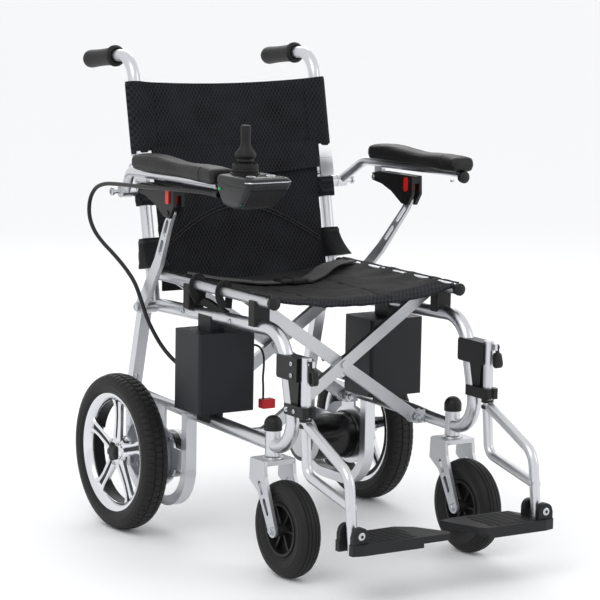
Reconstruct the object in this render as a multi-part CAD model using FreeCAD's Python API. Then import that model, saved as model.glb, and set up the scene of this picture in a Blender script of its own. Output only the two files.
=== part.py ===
import FreeCAD, Part
import math
import os

# Folding power wheelchair, millimetres.  Z is up, the ground is Z = 0, the occupant faces -Y,
# X = 0 is the mid-plane and the left side of the chair is at +X.
# Pieces are drawn with Y = 0 at the rear axle and moved by DEPTH_SHIFT when written, so that
# the origin is the middle of the base.  Every sided piece is drawn for the left side and
# mirrored for the right side.

V = FreeCAD.Vector
X_AXIS = V(1, 0, 0)
Y_AXIS = V(0, 1, 0)
Z_AXIS = V(0, 0, 1)
ORIGIN = V(0, 0, 0)

# ---------------------------------------------------------------- driving dimensions
DEPTH_SHIFT = 230.0       # from the drawing origin at the rear axle to the middle of the base
RUN_CLEAR = 0.05          # radial clearance of every turning fit
SLIP = 0.4                # gap between pieces that pass each other

# side frame
FRAME_X = 212.0
FRAME_R = 14.0
TUBE_WALL = 2.0
RAIL_REAR = (50.0, 455.0)
RAIL_FRONT = (-475.0, 471.0)
POST_FOOT = (-530.0, 246.0)
LOWER_REAR = (103.0, 263.0)
RAIL_BEND_R = 70.0
FOOT_BEND_R = 58.0

# rear strut, which carries on as the U-shaped motor guard
LOOP_X = 217.0
LOOP_WIDE = 24.0
LOOP_DEEP = 20.0
LOOP_FRONT_Y = -134.0
LOOP_REAR_Y = 98.0
LOOP_FLOOR_Z = 62.0
LOOP_BEND_R = 80.0

# back posts and push handles
POST_X = 220.0
POST_R = 12.5
POST_BASE = (6.0, 455.0)
RECLINE = math.radians(11.75)
HINGE_Z = 735.0
HINGE_BACK = 19.0
HINGE_R = 9.0
HINGE_PIN_R = 3.0
BLOCK_HALF_X = 16.0
BLOCK_FRONT = -16.0
BLOCK_REAR = 9.4
BLOCK_DOWN = 38.0
BLOCK_UP = 30.0
KNUCKLE_HALF = 7.3
EAR_IN = 7.8
HANDLE_CORNER_Z = 962.0
HANDLE_END = (292.0, 941.0)
HANDLE_BEND_R = 55.0
GRIP_LENGTH = 121.0
GRIP_R = 17.0
GRIP_FLANGE_R = 22.0
GRIP_FLANGE = 9.0

# folding cross brace
PIVOT_X = 184.0
PIVOT_Z = 250.0
SEAT_TUBE_X = 217.0
BRACE_ANGLE = math.radians(34.0)
BRACE_PLANES = (-355.0, -100.0)
BAR_WIDE = 24.0
BAR_THICK = 12.0
BAR_GAP = 1.0
BAR_WALL = 2.0
PIN_R = 5.0
EAR_THICK = 4.0
EAR_R = 13.0
SEAT_TUBE_R = 11.0
SEAT_TUBE_FRONT = -448.0
SEAT_TUBE_REAR = -15.0
SADDLE_YS = (-389.0, -140.0)
SADDLE_LONG = 24.0
SADDLE_WIDE = 36.0

# drive unit
AXLE_Z = 160.0
AXLE_R = 8.5
MOTOR_Y = -46.0
MOTOR_Z = 155.0
MOTOR_R = 48.5
MOTOR_FLANGE = 12.0
MAGNET_R = 44.0
ROTOR_R = 35.5
MOTOR_SHAFT_R = 6.0
MOTOR_IN_LEFT = 105.0
MOTOR_IN_RIGHT = 185.0
MOTOR_END_BELL = 18.0
PLATE_X = LOOP_X + LOOP_WIDE / 2
PLATE_THICK = 5.0
GEARCASE_OUT_X = 262.0
GEARCASE_R = 56.0

# rear wheel
WHEEL_X = 299.5
WHEEL_R = 160.0
WHEEL_WIDE = 56.0
RIM_R = 119.0
RIM_IN_R = 104.0
RIM_HALF = 20.0
HUB_R = 31.0
SPOKES = 5
SPOKE_PHASE = math.radians(93.0)

# caster
STEM_Y = -443.0
CASTER_X = FRAME_X
CASTER_TRAIL = 58.0
CASTER_R = 94.0
CASTER_WIDE = 49.0
CASTER_HUB_R = 52.0
CROWN_Z = 222.0
CROWN_THICK = 9.0
FORK_INNER = 29.0
FORK_LEG = 7.0
STEM_R = 8.0
HEAD_R = 15.0
HEAD_Z = (226.5, 276.0)
CAP_R = 17.5
CAP_HIGH = 29.0

# swing-away leg rest
HANGER_Y = -557.0
HANGER_R = 10.0
HANGER_TOP = 434.0
HANGER_KNEE = (-559.0, 308.0)
HANGER_KNEE_R = 18.0
HANGER_SHIN = (-707.0, 238.0)
LEVER_PIVOT = (-576.0, 424.0)
LEVER_PIN_R = 2.0
LEVER_TAB_HALF = 3.0
LEVER_THICK = 4.0
BRACKET_HALF = 15.0
HANGER_FOOT = (-724.0, 98.0)
BRANCH_BEND = (-566.0, 212.0)
BRANCH_END = (-721.0, 178.0)
FOOT_PIN = (212.0, -723.0, 133.0)
FOOT_PIN_R = 4.0
FOOT_LUG_HALF = 17.0
FOOT_NOTCH = 1.2          # space between the shin tube and the plate
FOOT_TOP = 118.0
FOOT_THICK = 21.0
FOOT_EDGE = 13.0          # thickness of the plate's inner end
FOOT_STEP_X = 75.0        # where the thin inner end begins
FOOT_POCKET = ((100.0, -744.0), (184.0, -676.0))
LUG_GAP = 16.5
LUG_THICK = 12.0
LUG_R = 16.0
# plate outlines from above, as (x, y) of the left side
FOOT_OUTLINE_LEFT = [(231.0, -694.5), (205.0, -694.5), (192.0, -660.0), (60.0, -655.0),
                     (27.0, -664.0), (58.0, -746.0), (70.0, -757.0), (210.0, -757.0),
                     (231.0, -751.5)]
FOOT_OUTLINE_RIGHT = [(231.0, -694.5), (205.0, -694.5), (192.0, -668.0), (78.0, -662.0),
                      (46.0, -682.0), (9.0, -744.0), (16.0, -757.0), (210.0, -757.0),
                      (231.0, -751.5)]

# batteries between the rails
BATTERY_X = (139.0, 267.0)
BATTERY_Y = (-257.0, -156.0)
BATTERY_Z = (276.0, 436.0)
BATTERY_WALL = 3.0
CELL_GAP = 4.0
HOOK_TOP = 466.0
FOOT_BOTTOM = 252.0
HOOK_HALF = (16.0, 24.0)

# armrest and its support link
ARM_PIVOT = (57.0, 687.0)
ARM_EYE_X = (250.0, 274.0)
ARM_PIN_END = 291.0
ARM_X = 284.0
ARM_R = 10.0
ARM_CAP_R = 10.8
ARM_BEND = (-4.0, 735.0)
ARM_FRONT = (-350.0, 742.0)
PAD_Z = (742.0, 774.0)
PAD_HALF = 29.0
PAD_REAR = -48.0
PAD_FRONT_LEFT = -360.0
PAD_FRONT_RIGHT = -353.0
BRACKET_PIVOT = (-61.0, 706.0)
LINK_TOP = (-175.0, 668.0)
LINK_KNEE = (-96.0, 560.0)
LINK_FOOT = (5.0, 455.0)
LINK_FOOT_X = (250.0, 260.0)
LINK_WIDE = 23.0
LINK_HALF = 4.0
BRACKET_GAP = 5.8
BRACKET_WALL = 7.0
BUTTON_AT = (-178.0, 701.0)
BUTTON_HALF = 6.0
BUTTON_RISE = 9.0
BUTTON_PROUD = 3.0

# joystick controller on the right armrest
CONTROL_X = -260.5
CONTROL_HALF = 49.0
CONTROL_REAR = -374.0
CONTROL_FRONT = -500.0
CONTROL_TOP = 766.0
STICK_Y = -406.0
STICK_PIVOT_Z = 755.0
STICK_TOP = 859.0
GIMBAL_R = 13.0
WELL_R = 23.0
TRUNNION_R = 2.0
POWER_AT = (CONTROL_X - 22, -462.0)
HORN_AT = (CONTROL_X + 22, -462.0)
BUTTON_R = 7.0

# soft panels
SEAT_THICK = 5.0
BACK_THICK = 6.0

# cables
CONTROL_CABLE_R = 4.2
LEAD_R = 2.2


# ---------------------------------------------------------------- helpers
def cylinder(start, axis, radius, length):
    return Part.makeCylinder(radius, length, start, axis)


def along_x(x_from, x_to, y, z, radius):
    return cylinder(V(x_from, y, z), X_AXIS, radius, x_to - x_from)


def box(low, high):
    size = V(*high) - V(*low)
    return Part.makeBox(size.x, size.y, size.z, V(*low))


def rounded_box(low, high, radius, axis):
    solid = box(low, high)
    edges = [edge for edge in solid.Edges
             if abs(edge.tangentAt(edge.FirstParameter).dot(axis)) > 0.99]
    return solid.makeFillet(radius, edges)


def plate(outline, x_from, x_to):
    """A flat plate whose outline is a list of (y, z) corners."""
    points = [V(x_from, y, z) for y, z in outline]
    face = Part.Face(Part.makePolygon(points + points[:1]))
    return face.extrude(V(x_to - x_from, 0, 0))


def link_plate(ends, radii, x_from, x_to):
    """A straight plate between two round ends, each given as (y, z)."""
    (y0, z0), (y1, z1) = ends
    r0, r1 = radii
    length = math.hypot(y1 - y0, z1 - z0)
    side = math.atan2(z1 - z0, y1 - y0) + math.acos((r0 - r1) / length)
    other = 2 * math.atan2(z1 - z0, y1 - y0) - side
    corners = [(y0 + r0 * math.cos(side), z0 + r0 * math.sin(side)),
               (y1 + r1 * math.cos(side), z1 + r1 * math.sin(side)),
               (y1 + r1 * math.cos(other), z1 + r1 * math.sin(other)),
               (y0 + r0 * math.cos(other), z0 + r0 * math.sin(other))]
    rounds = [along_x(x_from, x_to, y0, z0, r0), along_x(x_from, x_to, y1, z1, r1)]
    return plate(corners, x_from, x_to).multiFuse(rounds).removeSplitter()


def bent_wire(points, radii):
    """Straight runs joined by tangent arcs, one radius for each inner point."""
    edges = []
    start = points[0]
    for before, corner, after, radius in zip(points, points[1:], points[2:], radii):
        come = (corner - before).normalize()
        leave = (after - corner).normalize()
        turn = come.getAngle(leave)
        reach = radius * math.tan(turn / 2)
        arc_in = corner - come * reach
        arc_out = corner + leave * reach
        inward = (leave - come).normalize()
        middle = corner + inward * (radius / math.cos(turn / 2) - radius)
        edges.append(Part.LineSegment(start, arc_in).toShape())
        edges.append(Part.Arc(arc_in, middle, arc_out).toShape())
        start = arc_out
    edges.append(Part.LineSegment(start, points[-1]).toShape())
    return Part.Wire(edges)


def swept_round(points, radii, radius):
    path = bent_wire(points, radii)
    direction = points[1] - points[0]
    section = Part.Wire(Part.makeCircle(radius, points[0], direction))
    return path.makePipeShell([section], True, False)


def swept_box(points, radii, wide, deep):
    """A rectangular section, wide along X, swept in a plane of constant X."""
    path = bent_wire(points, radii)
    direction = (points[1] - points[0]).normalize()
    across = X_AXIS.cross(direction) * (deep / 2)
    half = X_AXIS * (wide / 2)
    start = points[0]
    corners = [start + half + across, start - half + across,
               start - half - across, start + half - across]
    section = Part.makePolygon(corners + corners[:1])
    return path.makePipeShell([section], True, False)


def in_plane(x, pairs):
    return [V(x, y, z) for y, z in pairs]


def revolved_x(profile, x, y, z):
    """A profile of (offset along X, radius) turned about the X axis through (y, z)."""
    points = [V(x + dx, y, z + r) for dx, r in profile]
    face = Part.Face(Part.makePolygon(points + points[:1]))
    return face.revolve(V(x, y, z), X_AXIS, 360)


def shortened(points, end_wall):
    """The same route with both ends drawn in, so that a bore leaves its ends closed."""
    first = points[0] + (points[1] - points[0]).normalize() * end_wall
    last = points[-1] + (points[-2] - points[-1]).normalize() * end_wall
    return [first] + points[1:-1] + [last]


def tube(points, radii, radius, wall, end_wall=4.0):
    """Outer and inner solids of a bent tube whose ends stay closed."""
    outer = swept_round(points, radii, radius)
    return outer, swept_round(shortened(points, end_wall), radii, radius - wall)


def fused(solids):
    return solids[0].multiFuse(solids[1:])


def mirrored(shape):
    return shape.mirror(ORIGIN, X_AXIS)


def post_y(z):
    return POST_BASE[0] + (z - POST_BASE[1]) * math.tan(RECLINE)


HANDLE_CORNER = (post_y(HANDLE_CORNER_Z), HANDLE_CORNER_Z)
POST_UP = V(0, math.sin(RECLINE), math.cos(RECLINE))
POST_REARWARD = V(0, math.cos(RECLINE), -math.sin(RECLINE))
SPLIT_POINT = V(POST_X, post_y(HINGE_Z), HINGE_Z)
BACK_HINGE = SPLIT_POINT + POST_REARWARD * HINGE_BACK


def on_post(across, rearward, up):
    return SPLIT_POINT + X_AXIS * across + POST_REARWARD * rearward + POST_UP * up


def post_box(x_range, rear_range, up_range):
    """A box square to the reclined back post."""
    low = on_post(x_range[0], rear_range[0], up_range[0])
    solid = Part.makeBox(x_range[1] - x_range[0], rear_range[1] - rear_range[0],
                         up_range[1] - up_range[0])
    solid.rotate(ORIGIN, X_AXIS, -math.degrees(RECLINE))
    solid.translate(low)
    return solid


# ---------------------------------------------------------------- frame
def brace_ears(brace_side):
    """Two ears and a pivot pin on the lower rail for each brace plane."""
    pieces = []
    for plane in BRACE_PLANES:
        bar_y = plane + brace_side * (BAR_THICK + BAR_GAP) / 2
        inner = BAR_THICK / 2 + SLIP
        for side in (-1, 1):
            near = bar_y + side * inner
            far = bar_y + side * (inner + EAR_THICK)
            low_y, high_y = min(near, far), max(near, far)
            pieces.append(box((PIVOT_X, low_y, PIVOT_Z - EAR_R),
                              (FRAME_X, high_y, PIVOT_Z + EAR_R)))
            pieces.append(cylinder(V(PIVOT_X, low_y, PIVOT_Z), Y_AXIS, EAR_R, high_y - low_y))
        reach = inner + EAR_THICK + 3
        pieces.append(cylinder(V(PIVOT_X, bar_y - reach, PIVOT_Z), Y_AXIS, PIN_R, 2 * reach))
    return pieces


def motor_plate():
    low_x, high_x = PLATE_X, PLATE_X + PLATE_THICK
    disc = along_x(low_x, high_x, MOTOR_Y, MOTOR_Z, MOTOR_R + 14)
    front = box((low_x, LOOP_FRONT_Y, MOTOR_Z - 20), (high_x, MOTOR_Y, MOTOR_Z + 24))
    rear = box((low_x, MOTOR_Y, MOTOR_Z - 16), (high_x, LOOP_REAR_Y, MOTOR_Z + 34))
    upper = box((low_x, MOTOR_Y - 18, MOTOR_Z), (high_x, MOTOR_Y + 28, LOWER_REAR[1] - 6))
    return [disc, front, rear, upper]


def lower_hinge_block():
    block = post_box((-BLOCK_HALF_X, BLOCK_HALF_X), (BLOCK_FRONT, BLOCK_REAR), (-BLOCK_DOWN, 0))
    pieces = [block]
    for side in (-1, 1):
        ends = sorted((side * EAR_IN, side * BLOCK_HALF_X))
        pieces.append(post_box(ends, (BLOCK_REAR - 2, HINGE_BACK + HINGE_R), (-20, 0)))
        start = BACK_HINGE + X_AXIS * ends[0]
        pieces.append(cylinder(start, X_AXIS, HINGE_R, ends[1] - ends[0]))
    pin_start = BACK_HINGE - X_AXIS * (BLOCK_HALF_X + 1)
    pieces.append(cylinder(pin_start, X_AXIS, HINGE_PIN_R, 2 * BLOCK_HALF_X + 2))
    return pieces


def hollow(pair):
    outer, bore = pair
    return outer.cut(bore)


def frame(brace_side):
    """Welded side frame: tubes, motor guard, caster head, pivots and lower hinge block."""
    loop_points = in_plane(FRAME_X, [RAIL_REAR, RAIL_FRONT, POST_FOOT, LOWER_REAR])
    rail = hollow(tube(loop_points, [RAIL_BEND_R, FOOT_BEND_R], FRAME_R, TUBE_WALL, 30.0))
    guard_points = in_plane(LOOP_X, [RAIL_REAR, (LOOP_REAR_Y, LOWER_REAR[1]),
                                     (LOOP_REAR_Y, LOOP_FLOOR_Z), (LOOP_FRONT_Y, LOOP_FLOOR_Z),
                                     (LOOP_FRONT_Y, LOWER_REAR[1] - 8)])
    guard_radii = [60.0, LOOP_BEND_R, LOOP_BEND_R]
    guard = swept_box(guard_points, guard_radii, LOOP_WIDE, LOOP_DEEP)
    guard_bore = swept_box(shortened(guard_points, 30.0), guard_radii,
                           LOOP_WIDE - 2 * TUBE_WALL, LOOP_DEEP - 2 * TUBE_WALL)
    post_points = [V(POST_X, *POST_BASE), SPLIT_POINT - POST_UP * 3]
    post = hollow(tube(post_points, [], POST_R, TUBE_WALL, 20.0))
    knuckle_space = cylinder(BACK_HINGE - X_AXIS * EAR_IN, X_AXIS, HINGE_R + SLIP, 2 * EAR_IN)
    post = post.cut(knuckle_space)
    head = cylinder(V(FRAME_X, STEM_Y, HEAD_Z[0]), Z_AXIS, HEAD_R, HEAD_Z[1] - HEAD_Z[0])
    end_boss = along_x(FRAME_X - FRAME_R, LOOP_X + LOOP_WIDE / 2, *RAIL_REAR, FRAME_R + 1)
    link_pin = along_x(POST_X, LINK_FOOT_X[1] + 6, *LINK_FOOT, PIN_R)
    link_boss = along_x(POST_X, LINK_FOOT_X[0] - SLIP, *LINK_FOOT, FRAME_R)
    arm_pin = along_x(POST_X, ARM_PIN_END, *ARM_PIVOT, PIN_R)
    arm_boss = along_x(POST_X, ARM_EYE_X[0] - SLIP, *ARM_PIVOT, POST_R - 0.5)
    solids = [rail, guard.cut(guard_bore), post, head, end_boss, link_pin, link_boss,
              arm_pin, arm_boss]
    solids += brace_ears(brace_side) + motor_plate() + lower_hinge_block()
    stem_bore = cylinder(V(FRAME_X, STEM_Y, HEAD_Z[0]), Z_AXIS, STEM_R + RUN_CLEAR,
                         HEAD_Z[1] - HEAD_Z[0])
    return fused(solids).cut(stem_bore)


def rail_outline():
    """The outside of the bent side tube, used to shape what clamps on it."""
    points = in_plane(FRAME_X, [RAIL_REAR, RAIL_FRONT, POST_FOOT, LOWER_REAR])
    return swept_round(points, [RAIL_BEND_R, FOOT_BEND_R], FRAME_R)


def stem_cap():
    base = HEAD_Z[1]
    skirt = cylinder(V(FRAME_X, STEM_Y, base), Z_AXIS, CAP_R, CAP_HIGH - CAP_R * 0.8)
    dome = Part.makeSphere(CAP_R, V(FRAME_X, STEM_Y, base + CAP_HIGH - CAP_R))
    below = cylinder(V(FRAME_X, STEM_Y, base - 2 * CAP_R), Z_AXIS, 2 * CAP_R, 2 * CAP_R)
    return skirt.fuse(dome).cut(below).removeSplitter()


def saddles():
    outline = rail_outline()
    seat = seat_tube_outline(SEAT_TUBE_R + SLIP)
    top = seat_tube_z() - 1
    solids = []
    for y in SADDLE_YS:
        block = rounded_box((FRAME_X + 2 - SADDLE_WIDE / 2, y - SADDLE_LONG / 2, 470.0),
                            (FRAME_X + 2 + SADDLE_WIDE / 2, y + SADDLE_LONG / 2, top), 3, Z_AXIS)
        solids.append(block.cut(outline).cut(seat))
    return Part.makeCompound([solid for block in solids for solid in block.Solids])


# ---------------------------------------------------------------- brace and seat
def seat_tube_z():
    return PIVOT_Z + (PIVOT_X + SEAT_TUBE_X) * math.tan(BRACE_ANGLE)


def seat_tube_outline(radius):
    start = V(SEAT_TUBE_X, SEAT_TUBE_FRONT, seat_tube_z())
    return cylinder(start, Y_AXIS, radius, SEAT_TUBE_REAR - SEAT_TUBE_FRONT)


def brace_bar(y, pin_bore):
    """One bar, from the pivot on the right rail up to the left seat tube."""
    reach = (PIVOT_X + SEAT_TUBE_X) / math.cos(BRACE_ANGLE)
    half = BAR_WIDE / 2
    low = V(0, y - BAR_THICK / 2, -half)
    bar = Part.makeBox(reach, BAR_THICK, BAR_WIDE, low)
    foot = cylinder(V(0, y - BAR_THICK / 2, 0), Y_AXIS, half, BAR_THICK)
    hollow_from = half + 4
    space = Part.makeBox(reach - 2 * hollow_from - BAR_WALL, BAR_THICK - 2 * BAR_WALL,
                          BAR_WIDE - 2 * BAR_WALL,
                          V(hollow_from, y - BAR_THICK / 2 + BAR_WALL, -half + BAR_WALL))
    centre = PIVOT_X / math.cos(BRACE_ANGLE)
    hub = cylinder(V(centre, y - BAR_THICK / 2, 0), Y_AXIS, half - 0.5, BAR_THICK)
    solid = bar.fuse(foot).cut(space).fuse(hub).removeSplitter()
    solid = solid.cut(cylinder(V(0, y - BAR_THICK, 0), Y_AXIS, PIN_R + RUN_CLEAR, 2 * BAR_THICK))
    if pin_bore:
        bore = cylinder(V(centre, y - BAR_THICK, 0), Y_AXIS, PIN_R + RUN_CLEAR, 2 * BAR_THICK)
        solid = solid.cut(bore)
    solid.rotate(ORIGIN, Y_AXIS, -math.degrees(BRACE_ANGLE))
    solid.translate(V(-PIVOT_X, 0, PIVOT_Z))
    return solid


def brace(offset, has_bolt):
    """Front and rear bar welded to the seat tube, drawn rising towards the left."""
    bars = [brace_bar(plane + offset, not has_bolt) for plane in BRACE_PLANES]
    outline = seat_tube_outline(SEAT_TUBE_R)
    bore_start = V(SEAT_TUBE_X, SEAT_TUBE_FRONT + 3, seat_tube_z())
    bore = cylinder(bore_start, Y_AXIS, SEAT_TUBE_R - TUBE_WALL,
                    SEAT_TUBE_REAR - SEAT_TUBE_FRONT - 6)
    solids = bars + [outline]
    if has_bolt:
        solids += [centre_bolt(plane) for plane in BRACE_PLANES]
    return fused(solids).cut(bore)


def centre_bolt(plane):
    z = PIVOT_Z + PIVOT_X * math.tan(BRACE_ANGLE)
    total = 2 * BAR_THICK + BAR_GAP
    start = plane - total / 2 - 3
    shank = cylinder(V(0, start, z), Y_AXIS, PIN_R, total + 9)
    head = cylinder(V(0, start - 1.5, z), Y_AXIS, PIN_R + 3, 4.5)
    nut = cylinder(V(0, plane + total / 2 + SLIP, z), Y_AXIS, PIN_R + 3.5, 6)
    return fused([shank, head, nut])


def seat_fabric():
    """A sling that hangs between the seat tubes and lies over both of them."""
    z = seat_tube_z() + SEAT_TUBE_R + 3.0
    sag = 24.0
    half = SEAT_TUBE_X + 8
    front, rear = SEAT_TUBE_FRONT + 12, SEAT_TUBE_REAR - 8
    top = Part.Arc(V(-half, front, z), V(0, front, z - sag), V(half, front, z))
    low = Part.Arc(V(half, front, z + SEAT_THICK), V(0, front, z - sag + SEAT_THICK),
                   V(-half, front, z + SEAT_THICK))
    edges = [top.toShape(), Part.LineSegment(V(half, front, z), low.StartPoint).toShape(),
             low.toShape(), Part.LineSegment(low.EndPoint, V(-half, front, z)).toShape()]
    return Part.Face(Part.Wire(edges)).extrude(V(0, rear - front, 0))


# ---------------------------------------------------------------- back
def handle_tube():
    low = SPLIT_POINT + POST_UP * 3
    points = [low, V(POST_X, *HANDLE_CORNER), V(POST_X, *HANDLE_END)]
    outer, bore = tube(points, [HANDLE_BEND_R], POST_R, TUBE_WALL)
    block = post_box((-BLOCK_HALF_X, BLOCK_HALF_X), (BLOCK_FRONT, BLOCK_REAR), (SLIP, BLOCK_UP))
    knuckle = cylinder(BACK_HINGE - X_AXIS * KNUCKLE_HALF, X_AXIS, HINGE_R - 0.3,
                       2 * KNUCKLE_HALF)
    web = post_box((-KNUCKLE_HALF, KNUCKLE_HALF), (BLOCK_REAR - 2, HINGE_BACK + HINGE_R - 0.3),
                   (SLIP, 17))
    lever_ear = post_box((-KNUCKLE_HALF, -KNUCKLE_HALF + 4), (BLOCK_REAR - 2, HINGE_BACK + 9),
                         (15, BLOCK_UP))
    pin_bore = cylinder(BACK_HINGE - X_AXIS * 20, X_AXIS, HINGE_PIN_R + RUN_CLEAR, 40)
    lever_pin = cylinder(lever_axis() - X_AXIS * KNUCKLE_HALF, X_AXIS, 2.0, 2 * KNUCKLE_HALF)
    body = fused([outer, block, knuckle, web, lever_ear, lever_pin])
    return body.cut(bore.common(outer)).fuse(lever_pin).cut(pin_bore).removeSplitter()


def lever_axis():
    return on_post(0, HINGE_BACK + 2, 25)


def back_lever():
    """A thumb lever that frees the folding backrest."""
    hub = cylinder(lever_axis() - X_AXIS * 2.9, X_AXIS, 5.5, 9)
    thumb = post_box((-2.9, 6.1), (HINGE_BACK + 2, HINGE_BACK + 10), (25, 52))
    bore = cylinder(lever_axis() - X_AXIS * 9, X_AXIS, 2.0 + RUN_CLEAR, 18)
    return fused([hub, thumb]).cut(bore)


def grip():
    end = V(POST_X, *HANDLE_END)
    forward = (V(POST_X, *HANDLE_CORNER) - end).normalize()
    shell = cylinder(end - forward * 3, forward, GRIP_R, GRIP_LENGTH)
    flange = cylinder(end + forward * (GRIP_LENGTH - 3 - GRIP_FLANGE), forward, GRIP_FLANGE_R,
                      GRIP_FLANGE)
    tube_space = cylinder(end, forward, POST_R, GRIP_LENGTH)
    return shell.fuse(flange).cut(tube_space).removeSplitter()


def back_panel(z_from, z_to, half):
    """A flat panel of padded mesh just in front of the post centreline, with side sleeves."""
    low = SPLIT_POINT + POST_UP * (z_from - HINGE_Z) / math.cos(RECLINE)
    length = (z_to - z_from) / math.cos(RECLINE)
    sheet = Part.makeBox(2 * half, BACK_THICK, length, V(-half, 0, 0))
    sheet.rotate(ORIGIN, X_AXIS, -math.degrees(RECLINE))
    sheet.translate(V(0, low.y, low.z) - POST_REARWARD * BACK_THICK / 2)
    return sheet


def back_fabric_upper():
    """The upper panel, whose side sleeves slip over both posts."""
    z_from, z_to = HINGE_Z + BLOCK_UP + 2, 897.0
    sheet = back_panel(z_from, z_to, POST_X - POST_R - 1)
    sleeves = []
    for side in (-1, 1):
        start = V(side * POST_X, post_y(z_from), z_from)
        length = (z_to - z_from) / math.cos(RECLINE)
        sleeve = cylinder(start, POST_UP, POST_R + 3, length)
        sleeves.append(sleeve.cut(cylinder(start, POST_UP, POST_R + 0.3, length)))
    return fused([sheet] + sleeves)


def back_fabric_lower():
    return back_panel(552.0, HINGE_Z - 6, POST_X - POST_R - 4)


# ---------------------------------------------------------------- drive
def motor(in_x):
    """Can with a pale end bell, magnets inside it, and the rotor on its shaft."""
    bell_end = in_x + min(MOTOR_END_BELL, (PLATE_X - in_x) / 4)
    can = along_x(bell_end, PLATE_X - MOTOR_FLANGE, MOTOR_Y, MOTOR_Z, MOTOR_R)
    end_bell = along_x(in_x, bell_end, MOTOR_Y, MOTOR_Z, MOTOR_R - 2)
    flange = along_x(PLATE_X - MOTOR_FLANGE, PLATE_X, MOTOR_Y, MOTOR_Z, MOTOR_R + 3)
    inside = along_x(in_x + 5, PLATE_X - 5, MOTOR_Y, MOTOR_Z, MAGNET_R)
    magnets = along_x(in_x + 14, PLATE_X - 14, MOTOR_Y, MOTOR_Z, MAGNET_R)
    magnets = magnets.cut(along_x(in_x, PLATE_X, MOTOR_Y, MOTOR_Z, ROTOR_R + 1))
    rotor = along_x(in_x + 12, PLATE_X - 12, MOTOR_Y, MOTOR_Z, ROTOR_R)
    shaft = along_x(in_x + 5, PLATE_X - 5, MOTOR_Y, MOTOR_Z, MOTOR_SHAFT_R)
    shell = fused([can, end_bell, flange]).cut(inside).fuse(magnets).removeSplitter()
    return Part.makeCompound([shell, rotor.fuse(shaft).removeSplitter()])


def gearcase():
    start = PLATE_X + PLATE_THICK
    case = link_plate([(0.0, AXLE_Z), (MOTOR_Y, MOTOR_Z)], (GEARCASE_R, GEARCASE_R - 4),
                      start, GEARCASE_OUT_X - 6)
    nose = along_x(GEARCASE_OUT_X - 6, GEARCASE_OUT_X, 0, AXLE_Z, GEARCASE_R - 14)
    body = fused([case, nose])
    bore = along_x(start + 6, GEARCASE_OUT_X, 0, AXLE_Z, AXLE_R + RUN_CLEAR)
    return body.cut(bore)


def rear_tyre():
    half = WHEEL_WIDE / 2
    profile = [(-RIM_HALF + 1, RIM_R), (-half, RIM_R + 13), (-half, WHEEL_R - 14),
               (-half + 8, WHEEL_R - 3), (-half + 16, WHEEL_R), (half - 16, WHEEL_R),
               (half - 8, WHEEL_R - 3), (half, WHEEL_R - 14), (half, RIM_R + 13),
               (RIM_HALF - 1, RIM_R)]
    return revolved_x(profile, WHEEL_X, 0, AXLE_Z)


def rear_rim():
    profile = [(-RIM_HALF, RIM_IN_R), (-RIM_HALF, RIM_R), (RIM_HALF, RIM_R),
               (RIM_HALF, RIM_IN_R + 8), (RIM_HALF - 6, RIM_IN_R)]
    ring = revolved_x(profile, WHEEL_X, 0, AXLE_Z)
    hub = along_x(WHEEL_X - 30, WHEEL_X + RIM_HALF + 5, 0, AXLE_Z, HUB_R)
    spokes = []
    for index in range(SPOKES):
        angle = SPOKE_PHASE + index * math.tau / SPOKES
        outline = [(0, -15), (RIM_IN_R + 4, -8), (RIM_IN_R + 4, 8), (0, 15)]
        turned = [(u * math.cos(angle) - v * math.sin(angle),
                   AXLE_Z + u * math.sin(angle) + v * math.cos(angle)) for u, v in outline]
        spokes.append(plate(turned, WHEEL_X - 2, WHEEL_X + RIM_HALF - 3))
    wheel = fused([ring, hub] + spokes)
    axle = along_x(PLATE_X + PLATE_THICK + 8, WHEEL_X + RIM_HALF, 0, AXLE_Z, AXLE_R)
    nut = along_x(WHEEL_X + RIM_HALF + 5, WHEEL_X + RIM_HALF + 13, 0, AXLE_Z, 14)
    return fused([wheel, axle, nut])


# ---------------------------------------------------------------- casters
def caster_axle_y():
    return STEM_Y - CASTER_TRAIL


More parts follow.
